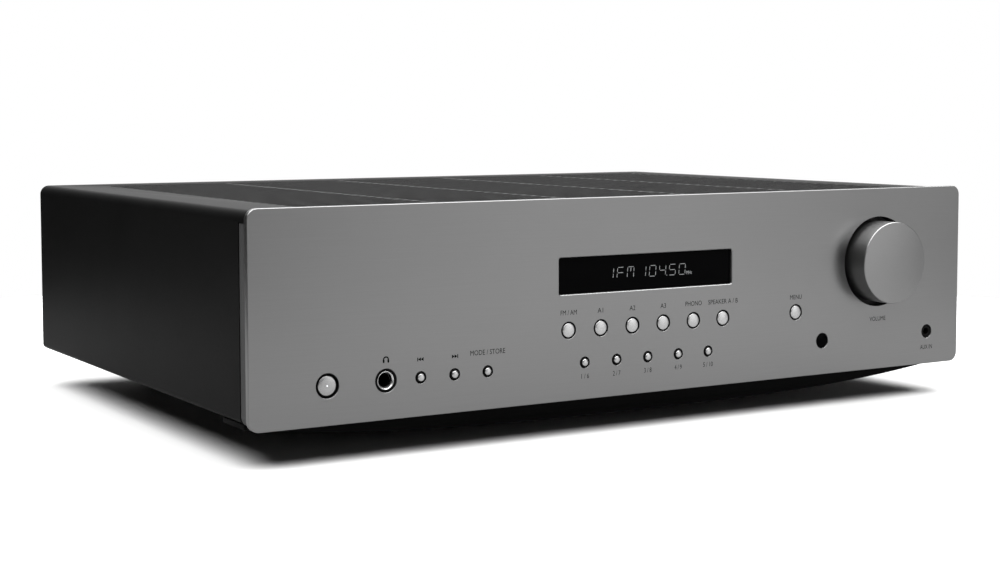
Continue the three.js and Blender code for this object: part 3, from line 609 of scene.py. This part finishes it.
def aux_socket():
    """A small black socket with a soft lip."""
    at = on_face("aux_jack")
    depth = depth_of("aux_jack")
    body = eased(
        [(1.8, 0.55, 0.15), (3.3, 0.45, 0.25), (3.3, depth), (0, depth), (0, depth - 2), (1.8, depth - 2)],
        closed=True,
    )
    put(turned("aux_socket", body, SOCKET_BLACK, at, 48, closed=True), "chassis", "frame_black", "aux_jack")


def sensor():
    """The dark round lens of the remote-control receiver."""
    rim, end = PANEL_THICKNESS + 0.3, PANEL_THICKNESS + 1.9
    profile = eased([(0, 0.35), (3.85, 0.5, 0.25), (3.85, rim), (5.5, rim), (5.5, end), (0, end)])
    piece = turned("sensor_lens", profile, WINDOW_GLASS, on_face("sensor_window"), 56)
    put(piece, "chassis", "dark_window", "sensor_window")


# ---- display figures
# The bars that each figure lights, from the top bar round to the middle one; m is M's inner stroke.
LIT = {"0": "abcdef", "1": "bc", "4": "fgbc", "5": "afgcd", "F": "afeg", "M": "abcefm"}
DIGIT = {"width": 4.1, "height": 5.6, "bar": 0.26, "gap": 0.34, "slant": 0.09, "pitch": 6.15}
READING = "1FM10450"
READING_LEFT = -24.3
BAND_GAP = 1.2
UNIT = {"words": "MHz", "height": 1.7, "width": 3.4, "gap": 2.6, "rise": 0.9}
# Printing and lit figures: how thick they are, and how far they stand off what they are on.
PRINT_THICKNESS = 0.02
PRINT_LIFT = {"display": 0.03, "front": 0.025, "rear": 0.005}


def bar_outline(name):
    """One bar of a figure as a slim six-sided outline."""
    w, h, t, g = DIGIT["width"], DIGIT["height"], DIGIT["bar"] / 2, DIGIT["gap"]
    if name in "agd":
        z = {"a": h - t, "g": h / 2, "d": t}[name]
        x0, x1 = g + t, w - g - t
        return [(x0, z), (x0 + t, z - t), (x1 - t, z - t), (x1, z), (x1 - t, z + t), (x0 + t, z + t)]
    x = {"b": w - t, "c": w - t, "e": t, "f": t, "m": w / 2}[name]
    z0, z1 = (h / 2 + g, h - t - g) if name in "bfm" else (t + g, h / 2 - g)
    return [(x, z0), (x + t, z0 + t), (x + t, z1 - t), (x, z1), (x - t, z1 - t), (x - t, z0 + t)]


def display_figures():
    """Dim figures on the display: a band, a frequency with a point before its last two, and a unit."""
    build = bmesh.new()
    spot = middle("display_window") / MM
    y = FACE_Y / MM + WINDOW["recess"] - PRINT_LIFT["display"]
    left, base = spot.x + READING_LEFT, spot.z - DIGIT["height"] / 2
    places = [left + i * DIGIT["pitch"] + (BAND_GAP if i > 2 else 0) for i in range(len(READING))]

    def slanted(outline, dx):
        return [(dx + p[0] + p[1] * DIGIT["slant"], base + p[1]) for p in outline]

    for figure, x in zip(READING, places):
        for bar in LIT[figure]:
            add_prism(build, slanted(bar_outline(bar), x), y + PRINT_THICKNESS, y)
    point = circle(0.25, (DIGIT["width"] + 0.8, 0.2), 12)
    add_prism(build, slanted(point, places[-3]), y + PRINT_THICKNESS, y)
    unit_x = places[-1] + DIGIT["width"] + UNIT["gap"]
    add_text(build, UNIT["words"], UNIT["height"], unit_x, base + UNIT["rise"], y, width=UNIT["width"])
    put(finish_mesh("display_figures", build, DIGIT_GLOW), "chassis", "dark_window")


# ---- printing on the panel


def add_text(build, words, height, x, z, y, width=None, mirrored=False):
    """Printed letters centred on a point, fitted to a width if one is given; mirrored ones are read
    from behind."""
    curve = bpy.data.curves.new("letters", "FONT")
    curve.body = words
    curve.size = height / 0.7
    curve.align_x = "CENTER"
    curve.resolution_u = 3
    maker = bpy.data.objects.new("letters", curve)
    bpy.context.scene.collection.objects.link(maker)
    bpy.context.view_layer.update()
    mesh = bpy.data.meshes.new_from_object(maker.evaluated_get(bpy.context.evaluated_depsgraph_get()))
    across = [v.co.x for v in mesh.vertices]
    fit = width / (max(across) - min(across)) if width else 1.0
    side = -1 if mirrored else 1
    verts = [build.verts.new((x + side * fit * v.co.x, y, z - height / 2 + v.co.y)) for v in mesh.vertices]
    faces = [build.faces.new([verts[i] for i in polygon.vertices]) for polygon in mesh.polygons]
    lifted = bmesh.ops.extrude_face_region(build, geom=faces)["geom"]
    for item in lifted:
        if isinstance(item, bmesh.types.BMVert):
            item.co.y += PRINT_THICKNESS * side
    bpy.data.objects.remove(maker)
    bpy.data.curves.remove(curve)
    bpy.data.meshes.remove(mesh)


def add_mark(build, outline, x, z, y):
    add_prism(build, [(x + p[0], z + p[1]) for p in outline], y + PRINT_THICKNESS, y)


def arc_band(inner, outer, start, end, steps=16):
    angles = [math.radians(start + (end - start) * i / steps) for i in range(steps + 1)]
    out = [(outer * math.cos(a), outer * math.sin(a)) for a in angles]
    return out + [(inner * math.cos(a), inner * math.sin(a)) for a in reversed(angles)]


LABEL_HEIGHT = 2.4
# Generic function names: the control, the words, their width and how far they are below the panel's top.
LABELS = [
    ("tuner_button", "FM / AM", 9.4, 55.4),
    ("input_1_button", "A1", 3.3, 55.4),
    ("input_2_button", "A2", 3.5, 55.4),
    ("input_3_button", "A3", 3.5, 55.4),
    ("phono_button", "PHONO", 10.4, 55.4),
    ("speaker_button", "SPEAKER A / B", 19.2, 55.4),
    ("menu_button", "MENU", 8.0, 56.0),
    ("mode_button", "MODE / STORE", 19.2, 71.2),
    ("volume_knob", "VOLUME", 11.6, 71.1),
    ("aux_jack", "AUX IN", 9.0, 89.2),
]
# How far the signs and the preset numbers are below the panel's top, and how wide the numbers are by their
# count of characters.
BELOW = {"headphones": 70.9, "arrows": 72, "numbers": 87.2}
NUMBER_WIDTH = {5: 4.5, 6: 6.2}


def panel_printing():
    """Generic names, figures and symbols beside the controls."""
    build = bmesh.new()
    y = FACE_Y / MM - PRINT_LIFT["front"]
    top = PANEL_TOP / MM
    head = middle("headphone_jack").x / MM
    head_z = top - BELOW["headphones"]
    arrow_z = top - BELOW["arrows"]
    add_mark(build, arc_band(0.95, 1.6, 10, 170), head, head_z, y)
    for side in (-1, 1):
        add_mark(build, round_rect(0.45, 0.85, 0.4, steps=3), head + side * 1.2, head_z - 0.6, y)
    for node, side in (("previous_button", -1), ("next_button", 1)):
        x = middle(node).x / MM
        for k in (-0.7, 0.7):
            arrow = [(-0.75 * side, -0.88), (0.72 * side, 0), (-0.75 * side, 0.88)]
            add_mark(build, arrow, x + k * side, arrow_z, y)
        add_mark(build, round_rect(0.22, 0.88, 0.1, steps=2), x + 1.65 * side, arrow_z, y)
    for node, words, width, below in LABELS:
        x = middle(node).x / MM
        add_text(build, words, LABEL_HEIGHT, x, top - below, y + PRINT_THICKNESS, width)
    for number in (1, 2, 3, 4, 5):
        x = middle(f"preset_{number}_button").x / MM
        words = f"{number} / {number + 5}"
        width = NUMBER_WIDTH[len(words)]
        add_text(build, words, LABEL_HEIGHT, x, top - BELOW["numbers"], y + PRINT_THICKNESS, width)
    put(finish_mesh("panel_printing", build, INK), "chassis", "frame_black")


# ---- case
COVER_RADIUS = 5.0
COVER_FOOT_RADIUS = 3.0
COVER_LIP = 8.0
CLEARANCE = 0.3
NOTCH = {"depth": 6.8, "lip": 14, "height": 8, "side": 3, "below_bend": 0.4}
CUT_PAST = {"side": 3, "end": 2}
SLOT_PRESS = {"depth": 0.06, "reach": 0.12}


def quarter(steps):
    """Angles from 0 to a right angle."""
    return [math.pi / 2 * i / steps for i in range(steps + 1)]


def cover_section():
    """The folded sheet seen from the front, as one closed outline."""
    sheet = 1.0
    half, low, high = COVER_HIGH.x / MM, COVER_LOW.z / MM, COVER_HIGH.z / MM

    def side(sign, inset):
        x = sign * (half - inset)
        foot, bend = COVER_FOOT_RADIUS - inset, COVER_RADIUS - inset
        inner_x = sign * (half - COVER_FOOT_RADIUS - COVER_LIP)
        points = [(inner_x, low + inset)]
        for a in quarter(8):
            points.append((x - sign * foot * (1 - math.sin(a)), low + inset + foot * (1 - math.cos(a))))
        for a in quarter(10):
            points.append((x - sign * bend * (1 - math.cos(a)), high - inset - bend * (1 - math.sin(a))))
        return points

    outer = side(1, 0) + side(-1, 0)[::-1]
    inner = side(-1, sheet) + side(1, sheet)[::-1]
    return outer + inner


def slot_wall(centre, top):
    """A round-ended slot down through the sheet, flared where the punch has pressed its edge in."""

    def outline(grown):
        half = VENTS["slot"] / 2 + grown
        return round_rect(VENTS["width"] / 2 + grown, half, half, centre, 4)

    return [
        (outline(0), top - CUT_PAST["side"]),
        (outline(0), top - SLOT_PRESS["depth"]),
        (outline(SLOT_PRESS["reach"]), top),
        (outline(SLOT_PRESS["reach"]), top + CUT_PAST["side"]),
    ]


def top_cover():
    """The folded cover with round-ended vent slots and a notch down each side at the front."""
    build = bmesh.new()
    front, back = COVER_LOW.y / MM, COVER_HIGH.y / MM
    add_prism(build, cover_section(), front, back)
    shell = finish_mesh("cover_sheet", build, COVER_PAINT)
    cutters = bmesh.new()
    top = COVER_HIGH.z / MM
    for bay in range(VENTS["bays"]):
        x = (bay - (VENTS["bays"] - 1) / 2) * VENTS["pitch"]
        for row in range(VENTS["rows"]):
            y = FACE_Y / MM + VENTS["front"] + row * VENTS["step"]
            add_walls(cutters, [slot_wall((x, y), top)], level)
    half, low = COVER_HIGH.x / MM, COVER_LOW.z / MM
    notch_top = top - COVER_RADIUS - NOTCH["below_bend"]
    outside, wall, lip = half + CUT_PAST["side"], half - NOTCH["side"], half - NOTCH["lip"]
    under, lip_top = low - CUT_PAST["end"], low + NOTCH["height"]
    for sign in (-1, 1):
        outline = [(sign * outside, under), (sign * lip, under), (sign * lip, lip_top)]
        outline += [(sign * wall, lip_top), (sign * wall, notch_top), (sign * outside, notch_top)]
        add_prism(cutters, outline, front - CUT_PAST["end"], front + NOTCH["depth"])
    tool = finish_mesh("cover_cutters", cutters, COVER_PAINT)
    cutting = shell.modifiers.new("slots", "BOOLEAN")
    cutting.operation = "DIFFERENCE"
    cutting.solver = "EXACT"
    cutting.object = tool
    bpy.context.view_layer.update()
    cut = bpy.data.meshes.new_from_object(shell.evaluated_get(bpy.context.evaluated_depsgraph_get()))
    shell.modifiers.clear()
    bpy.data.objects.remove(tool)
    again = bmesh.new()
    again.from_mesh(cut)
    bmesh.ops.scale(again, vec=(1 / MM, 1 / MM, 1 / MM), verts=again.verts)
    bpy.data.objects.remove(shell)
    put(finish_mesh("cover_sheet", again, COVER_PAINT), "chassis", "cover_black", "top_cover")


def screw(heads, crosses, x, y, z, radius=2.9):
    """A pan-head screw facing +Y, with a dark cross on its head."""
    head = eased([(0, 1.7), (radius * 0.55, 1.6), (radius, 0.7, 0.5), (radius, 0), (0, 0)])
    add_lathe(heads, head, 28, "Y", (x, y, z))
    arm, half = radius * 0.55, radius * 0.13
    cross = [
        (-arm, -half), (-half, -half), (-half, -arm), (half, -arm), (half, -half), (arm, -half),
        (arm, half), (half, half), (half, arm), (-half, arm), (-half, half), (-arm, half),
    ]
    add_prism(crosses, [(x + p[0], z + p[1]) for p in cross], y + 1.4, y + 1.72)


def plinth():
    """The bowed foot bar, deepest in the middle. Its ends step down to pass under the cover's lips."""
    low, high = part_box("front_plinth")
    half, front, back = high.x / MM, low.y / MM, high.y / MM
    panel_low = PANEL_LOW.z / MM
    drop = panel_low - low.z / MM
    top, end_top = high.z / MM, COVER_LOW.z / MM - CLEARANCE
    shoulder = COVER_HIGH.x / MM - COVER_FOOT_RADIUS - COVER_LIP - CLEARANCE
    steps = 96

    def section(inset):
        points = [(-shoulder, top), (-shoulder, end_top), (-half + inset, end_top)]
        for i in range(steps + 1):
            x = -(half - inset) * math.cos(math.pi * i / steps)
            points.append((x, panel_low - (drop - inset) * (1 - abs(x / half) ** 3)))
        return points + [(half - inset, end_top), (shoulder, end_top), (shoulder, top)]

    build = bmesh.new()
    rounding = [(section(0.6), front), (section(0.18), front + 0.18), (section(0), front + 0.6)]
    add_walls(build, [rounding + [(section(0), back)]], upright)
    put(finish_mesh("plinth_bar", build, PLINTH_PLASTIC), "chassis", "frame_black", "front_plinth")


def foot(node):
    """A moulded foot with a rubber sole ring."""
    spot = middle(node)
    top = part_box(node)[1].z / MM
    body = eased([(0, 1.2), (15.4, 1.2), (16, 1.6, 0.4), (16, 5, 1), (18, 7, 1), (18, top, 0.4), (0, top)])
    sole = eased([(0, 0), (14.6, 0, 0.5), (15, 0.6, 0.3), (15, 1.25), (0, 1.25)])
    at = (spot.x, spot.y, 0)
    put(turned(f"{node}_body", body, PLINTH_PLASTIC, at, 56, "Z"), "chassis", "frame_black", node)
    put(turned(f"{node}_sole", sole, RUBBER, at, 56, "Z"), "chassis", "foot_rubber")


# ---- rear
JACK_COLUMNS = 5
JACK_MARGIN = 9.0


def jack_places():
    low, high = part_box("input_jack_block")
    x0, x1 = low.x / MM + JACK_MARGIN, high.x / MM - JACK_MARGIN
    rows = (high.z / MM - JACK_MARGIN, low.z / MM + JACK_MARGIN)
    step = (x1 - x0) / (JACK_COLUMNS - 1)
    return [(x1 - c * step, z, r) for r, z in enumerate(rows) for c in range(JACK_COLUMNS)]


def phono_sockets():
    """Plated sleeves with a coloured insulator in each, on the moulded block."""
    rear = REAR_Y / MM
    sleeves, whites, reds, washers = bmesh.new(), bmesh.new(), bmesh.new(), bmesh.new()
    sleeve = eased(
        [(3.2, rear - 1), (4.1, rear - 1), (4.1, rear + 8.9, 0.4), (3.2, rear + 8.9, 0.3)], closed=True
    )
    insulator = eased(
        [(1.7, rear - 1), (3.15, rear - 1), (3.15, rear + 8.0, 0.3), (1.7, rear + 8.3, 0.3)], closed=True
    )
    washer = eased(
        [(4.2, rear + 0.05), (6.3, rear + 0.05), (6.3, rear + 0.9, 0.3), (4.2, rear + 0.9, 0.2)], closed=True
    )
    for x, z, r in jack_places():
        add_lathe(sleeves, sleeve, 36, "Y", (x, 0, z), closed=True)
        add_lathe(reds if r else whites, insulator, 32, "Y", (x, 0, z), closed=True)
        add_lathe(washers, washer, 40, "Y", (x, 0, z), closed=True)
    put(finish_mesh("phono_sleeves", sleeves, CHROME), "chassis", "socket_chrome")
    put(finish_mesh("phono_insulators_white", whites, WHITE_GLOSS), "chassis", "frame_black")
    put(finish_mesh("phono_insulators_red", reds, RED_GLOSS), "chassis", "terminal_red")
    put(finish_mesh("phono_washers", washers, FRAME_PLASTIC), "chassis", "frame_black")
    low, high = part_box("input_jack_block")
    build = bmesh.new()
    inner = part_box("rear_panel")[0].y / MM
    rounded_box(build, (low.x / MM, low.y / MM, low.z / MM), (high.x / MM, inner - 0.3, high.z / MM), 0.8)
    put(finish_mesh("phono_block", build, FRAME_PLASTIC), "chassis", "frame_black", "input_jack_block")


def cap_profile(radius, start, end):
    return eased(
        [
            (3.3, start), (5.2, start, 0.3), (5.5, start + 1.2, 0.3), (radius, start + 2.2, 0.3),
            (radius, end - 1.2, 0.5), (4.7, end, 0.4), (2.1, end, 0.3), (2.1, end - 2.5), (3.3, end - 2.5),
        ],
        closed=True,
    )


def knurl(build, ribs, depth, inner, low=-math.inf, high=math.inf):
    """Ripples what lies outside a radius, between two places along Y."""
    for vert in build.verts:
        radius = math.hypot(vert.co.x, vert.co.z)
        if radius > inner and low < vert.co.y < high:
            a = math.atan2(vert.co.z, vert.co.x)
            shrink = 1 - depth * (0.5 + 0.5 * math.cos(a * ribs)) ** 2
            vert.co.x *= shrink
            vert.co.z *= shrink


def binding_cap(node, material, slot):
    """A knurled cap: the collar's radius ripples round the piece."""
    spot, start, end = span(node, 1)
    build = bmesh.new()
    add_lathe(build, cap_profile(5.6, start, end), 108, "Y", closed=True)
    knurl(build, ribs=18, depth=0.045, inner=5.4, low=start + 2.0, high=end - 0.9)
    piece = finish_mesh(f"{node}_knurled", build, material, smooth=40, at=(spot.x, 0, spot.z))
    put(piece, BODY_OF[node], slot, node)


def earth_nut():
    """The knurled thumb nut of the signal-earth terminal."""
    spot, start, end = span("ground_nut", 1)
    build = bmesh.new()
    grip = [(2, start), (4.9, start, 0.3), (4.9, end - 1.2, 0.3)]
    profile = eased(grip + [(3.6, end - 1.0, 0.2), (3.6, end, 0.3), (2, end)], closed=True)
    add_lathe(build, profile, 96, "Y", closed=True)
    knurl(build, ribs=24, depth=0.05, inner=4.5)
    piece = finish_mesh("ground_nut_knurled", build, ZINC, smooth=40, at=(spot.x, 0, spot.z))
    put(piece, "earth_nut", "zinc_steel", "ground_nut")


def rear_printing():
    """A number over each column of sockets."""
    build = bmesh.new()
    y = REAR_Y / MM + PRINT_LIFT["rear"]
    for column, (x, z, _) in enumerate(jack_places()[:JACK_COLUMNS], 1):
        add_text(build, str(column), 3.0, x, z + 10.5, y, mirrored=True)
    put(finish_mesh("rear_printing", build, WHITE_INK), "chassis", "cover_black")


# Where the rear panel's screws are along X, and how far in from its top and bottom edges.
PANEL_SCREWS = {"top": (-200, -100, 60, 206), "bottom": (-204, -120, -30, 90, 204), "down": 7, "up": 6}
PLATE_SCREWS = {"inset": 3.4, "lift": 2.5, "radius": 2.2}
INLET_SCREWS = {"side": 20, "lift": 3, "radius": 2.6}


def rear_screws():
    """The screws of the rear panel, the speaker terminals' plate and the mains inlet."""
    heads, crosses = bmesh.new(), bmesh.new()
    low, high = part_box("rear_panel")
    y = REAR_Y / MM
    spots = [(x, high.z / MM - PANEL_SCREWS["down"]) for x in PANEL_SCREWS["top"]]
    spots += [(x, low.z / MM + PANEL_SCREWS["up"]) for x in PANEL_SCREWS["bottom"]]
    for x, z in spots:
        screw(heads, crosses, x, y, z)
    plate_low, plate_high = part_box("speaker_terminal_block")
    inset = PLATE_SCREWS["inset"]
    for x in (plate_low.x / MM + inset, plate_high.x / MM - inset):
        for z in (plate_low.z / MM + inset, plate_high.z / MM - inset):
            screw(heads, crosses, x, y + PLATE_SCREWS["lift"], z, PLATE_SCREWS["radius"])
    inlet = middle("mains_inlet") / MM
    for side in (-1, 1):
        x = inlet.x + side * INLET_SCREWS["side"]
        screw(heads, crosses, x, y + INLET_SCREWS["lift"], inlet.z, INLET_SCREWS["radius"])
    put(finish_mesh("rear_screw_heads", heads, SCREW_BLACK), "chassis", "cover_black")
    put(finish_mesh("rear_screw_crosses", crosses, INK), "chassis", "cover_black")


# ---- inside


def transformer():
    """The wound ring, with its clamping disc and bolt."""
    spot, z0, z1 = span("power_transformer", 2)
    lower = [(13, z0 + 5, 3), (19, z0, 3), (45, z0, 5), (54, z0 + 9, 7)]
    upper = [(54, z1 - 9, 7), (45, z1, 5), (19, z1, 3), (13, z1 - 5, 3)]
    ring = eased(lower + upper, closed=True, steps=6)
    at = (spot.x, spot.y, 0)
    winding = turned("transformer_winding", ring, COPPER, at, 144, "Z", closed=True)
    put(winding, "chassis", "copper_winding", "power_transformer")
    plate = [(0, z1 + 0.3), (17, z1 + 0.3), (21, z1 + 1.5, 1), (21, z1 + 2.5, 0.5)]
    disc = eased(plate + [(6, z1 + 2.5), (6, z1 + 6.5, 0.6), (0, z1 + 6.5)])
    put(turned("transformer_clamp", disc, ZINC, at, 64, "Z"), "chassis", "zinc_steel")


# The small parts: how many are tried, their distance from the board's edge and from what stands there, their
# radii and the share of them that are capacitors.
SMALL_PARTS = {"tries": 90, "margin": 8, "gap": 3, "radii": [2.5, 3.2, 4.0, 5.0], "cans": 0.55, "seed": 7}


def components():
    """Small parts standing on the amplifier board."""
    low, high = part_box("amplifier_board")
    top = high.z / MM + 0.05
    rng = random.Random(SMALL_PARTS["seed"])
    margin = SMALL_PARTS["margin"]
    cans, blocks = bmesh.new(), bmesh.new()
    standing = ("heatsink", "filter_capacitor_front", "filter_capacitor_rear", "tuner_module")
    taken = [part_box(n) for n in standing]

    def clear(x, y, reach):
        for a, b in taken:
            if a.x / MM - reach < x < b.x / MM + reach and a.y / MM - reach < y < b.y / MM + reach:
                return False
        return True

    for _ in range(SMALL_PARTS["tries"]):
        x = rng.uniform(low.x / MM + margin, high.x / MM - margin)
        y = rng.uniform(low.y / MM + margin, high.y / MM - margin)
        radius = rng.choice(SMALL_PARTS["radii"])
        if not clear(x, y, radius + SMALL_PARTS["gap"]):
            continue
        taken.append((Vector((x - radius, y - radius, 0)) * MM, Vector((x + radius, y + radius, 0)) * MM))
        if rng.random() < SMALL_PARTS["cans"]:
            end = top + radius * 2.6
            can = eased([(0, top), (radius, top, 0.3), (radius, end, 0.5), (0, end - 0.3)])
            add_lathe(cans, can, 20, "Z", (x, y, 0))
        else:
            corner = (x - radius, y - radius * 0.5, top)
            opposite = (x + radius, y + radius * 0.5, top + radius * 2)
            rounded_box(blocks, corner, opposite, 0.4, 2)
    put(finish_mesh("board_capacitors", cans, SLEEVE), "chassis", "capacitor_sleeve")
    put(finish_mesh("board_blocks", blocks, FRAME_PLASTIC), "chassis", "frame_black")


def big_capacitor(node):
    """One of the two large filter capacitors, with a lip round its top."""
    spot, z0, z1 = span(node, 2)
    side = [(0, z0), (17, z0, 0.8), (17.5, z0 + 3, 0.5), (17.5, z1 - 1.5, 0.8)]
    profile = eased(side + [(16.3, z1, 0.4), (15.2, z1 - 0.8, 0.4), (0, z1 - 0.8)])
    piece = turned(f"{node}_can", profile, SLEEVE, (spot.x, spot.y, 0), 56, "Z")
    put(piece, "chassis", "capacitor_sleeve", node)


# ---- CAD pieces that stay: finer edges and finish


def refine(node, material, width):
    """Gives a CAD piece its finish and a fine bevel, as a modifier that leaves its mesh alone."""
    piece = nodes[node]
    piece.data.materials.clear()
    piece.data.materials.append(material)
    weld = piece.modifiers.new("weld", "WELD")
    weld.merge_threshold = 1e-6
    bevel = piece.modifiers.new("bevel", "BEVEL")
    bevel.width = width * MM
    bevel.segments = 2
    bevel.limit_method = "ANGLE"
    bevel.angle_limit = math.radians(50)
    bevel.use_clamp_overlap = True
    bevel.harden_normals = False


STAYING = {
    "front_frame": (FRAME_PLASTIC, 0.15), "display_window": (WINDOW_GLASS, 0.1), "encoder_shaft": (ZINC, 0.1),
    "volume_encoder": (ZINC, 0.1), "base_tray": (TRAY_STEEL, 0.1), "rear_panel": (REAR_PAINT, 0.1),
    "speaker_terminal_block": (FRAME_PLASTIC, 0.3), "mains_inlet": (BLACK_GLOSS, 0.3),
    "rocker_housing": (BLACK_GLOSS, 0.25), "mains_rocker": (BLACK_GLOSS, 0.4),
    "antenna_terminal": (FRAME_PLASTIC, 0.3), "antenna_lever_1": (RED_GLOSS, 0.4),
    "antenna_lever_2": (BLACK_GLOSS, 0.4), "ground_stud": (ZINC, 0.15), "heatsink": (HEATSINK, 0.2),
    "amplifier_board": (BOARD, 0.1), "tuner_module": (TRAY_STEEL, 0.3), "control_board": (BOARD, 0.1),
    "display_tube": (WINDOW_GLASS, 0.2), "input_board": (BOARD, 0.1),
}

# ---- stage


def camera():
    made = bpy.data.objects.new("camera", bpy.data.cameras.new("camera"))
    made.data.lens = 62.88
    made.data.sensor_width = 36.0
    made.data.shift_y = -0.05
    made.location = (-0.5142, -0.8589, 0.1590)
    made.rotation_euler = [math.radians(a) for a in (86.015, 0.06, -31.38)]
    bpy.context.scene.collection.objects.link(made)
    bpy.context.scene.camera = made


FLOOR_TONE = {"seen": 0.5, "lit": 0.27}


def show(owner, lit, seen, surface):
    """Gives one shader to the camera's rays and another to all the light that reaches the object."""
    rays = add_node(owner, "ShaderNodeLightPath").outputs["Is Camera Ray"]
    mix = add_node(owner, "ShaderNodeMixShader", links={"Fac": rays, 1: lit, 2: seen})
    owner.node_tree.links.new(mix.outputs["Shader"], surface)


def floor():
    """Pale paper, which the overhead light over-exposes. Light that reaches the object from it is about half
    as strong as what the camera sees."""
    build = bmesh.new()
    bmesh.ops.create_circle(build, cap_ends=True, segments=96, radius=620)
    material, shader = plain("floor_paper", shade(FLOOR_TONE["lit"]), 0.9, specular=0.0)
    seen = add_node(material, "ShaderNodeBsdfDiffuse", {"Color": (*shade(FLOOR_TONE["seen"]), 1)})
    surface = material.node_tree.nodes["Material Output"].inputs["Surface"]
    show(material, shader.outputs["BSDF"], seen.outputs["BSDF"], surface)
    piece = finish_mesh("floor", build, material)


def overhead(strength, angle, direction):
    light = bpy.data.lights.new("overhead", "SUN")
    light.energy = strength
    light.angle = math.radians(angle)
    made = bpy.data.objects.new("overhead", light)
    made.rotation_euler = Vector(direction).to_track_quat("-Z", "Y").to_euler()
    bpy.context.scene.collection.objects.link(made)


# The soft sectors of light: a direction, the angles where it starts to fade and where it ends, and its
# strength. Between them there is only the dim light.
SECTORS = [
    ((0.55, 0.83, 0.05), 8, 42, 1.4),
    ((0.58, -0.81, 0.10), 0, 19, 2.5),
    ((0.45, -0.25, 0.85), 8, 25, 3.0),
]
DIM_LIGHT = 0.012


def surroundings():
    """White behind the object for the camera. As light, it is dark but for the soft sectors."""
    world = bpy.data.worlds.new("studio")
    bpy.context.scene.world = world
    world.use_nodes = True
    world.node_tree.nodes.clear()
    place = add_node(world, "ShaderNodeTexCoord").outputs["Generated"]
    total = None
    for direction, inner, outer, strength in SECTORS:
        along = add_node(world, "ShaderNodeVectorMath", {1: Vector(direction).normalized()}, {0: place})
        along.operation = "DOT_PRODUCT"
        start, end = math.cos(math.radians(outer)), math.cos(math.radians(inner))
        values = {"From Min": start, "From Max": end, "To Max": strength}
        fade = add_node(world, "ShaderNodeMapRange", values, {"Value": along.outputs["Value"]})
        fade.interpolation_type = "SMOOTHSTEP"
        value = fade.outputs["Result"]
        total = add_node(world, "ShaderNodeMath", links={0: total, 1: value}).outputs[0] if total else value
    lifted = add_node(world, "ShaderNodeMath", {1: DIM_LIGHT}, {0: total}).outputs[0]
    white = {"Color": (1, 1, 1, 1)}
    seen = add_node(world, "ShaderNodeBackground", white).outputs["Background"]
    lit = add_node(world, "ShaderNodeBackground", white, {"Strength": lifted}).outputs["Background"]
    show(world, lit, seen, add_node(world, "ShaderNodeOutputWorld").inputs["Surface"])


def build_stage():
    camera()
    floor()
    surroundings()
    overhead(strength=11.5, angle=100, direction=(0, 0, -1))
    bpy.context.scene.view_settings.view_transform = "Standard"


# ---- everything together
build_stage()
front_panel()
for name in KIND_OF:
    button(name)
power_lamp()
volume_knob()
headphone_socket()
aux_socket()
sensor()
display_figures()
panel_printing()
top_cover()
plinth()
for name in ("foot_front_left", "foot_front_right", "foot_rear_left", "foot_rear_right"):
    foot(name)
phono_sockets()
for bank in "ab":
    for number in (1, 2, 3, 4):
        red = number % 2 == 1
        finish = (RED_GLOSS, "terminal_red") if red else (BLACK_GLOSS, "terminal_black")
        binding_cap(f"speaker_{bank}_cap_{number}", *finish)
earth_nut()
rear_printing()
rear_screws()
transformer()
components()
for name in ("filter_capacitor_front", "filter_capacitor_rear"):
    big_capacitor(name)
for name, (material, width) in STAYING.items():
    refine(name, material, width)
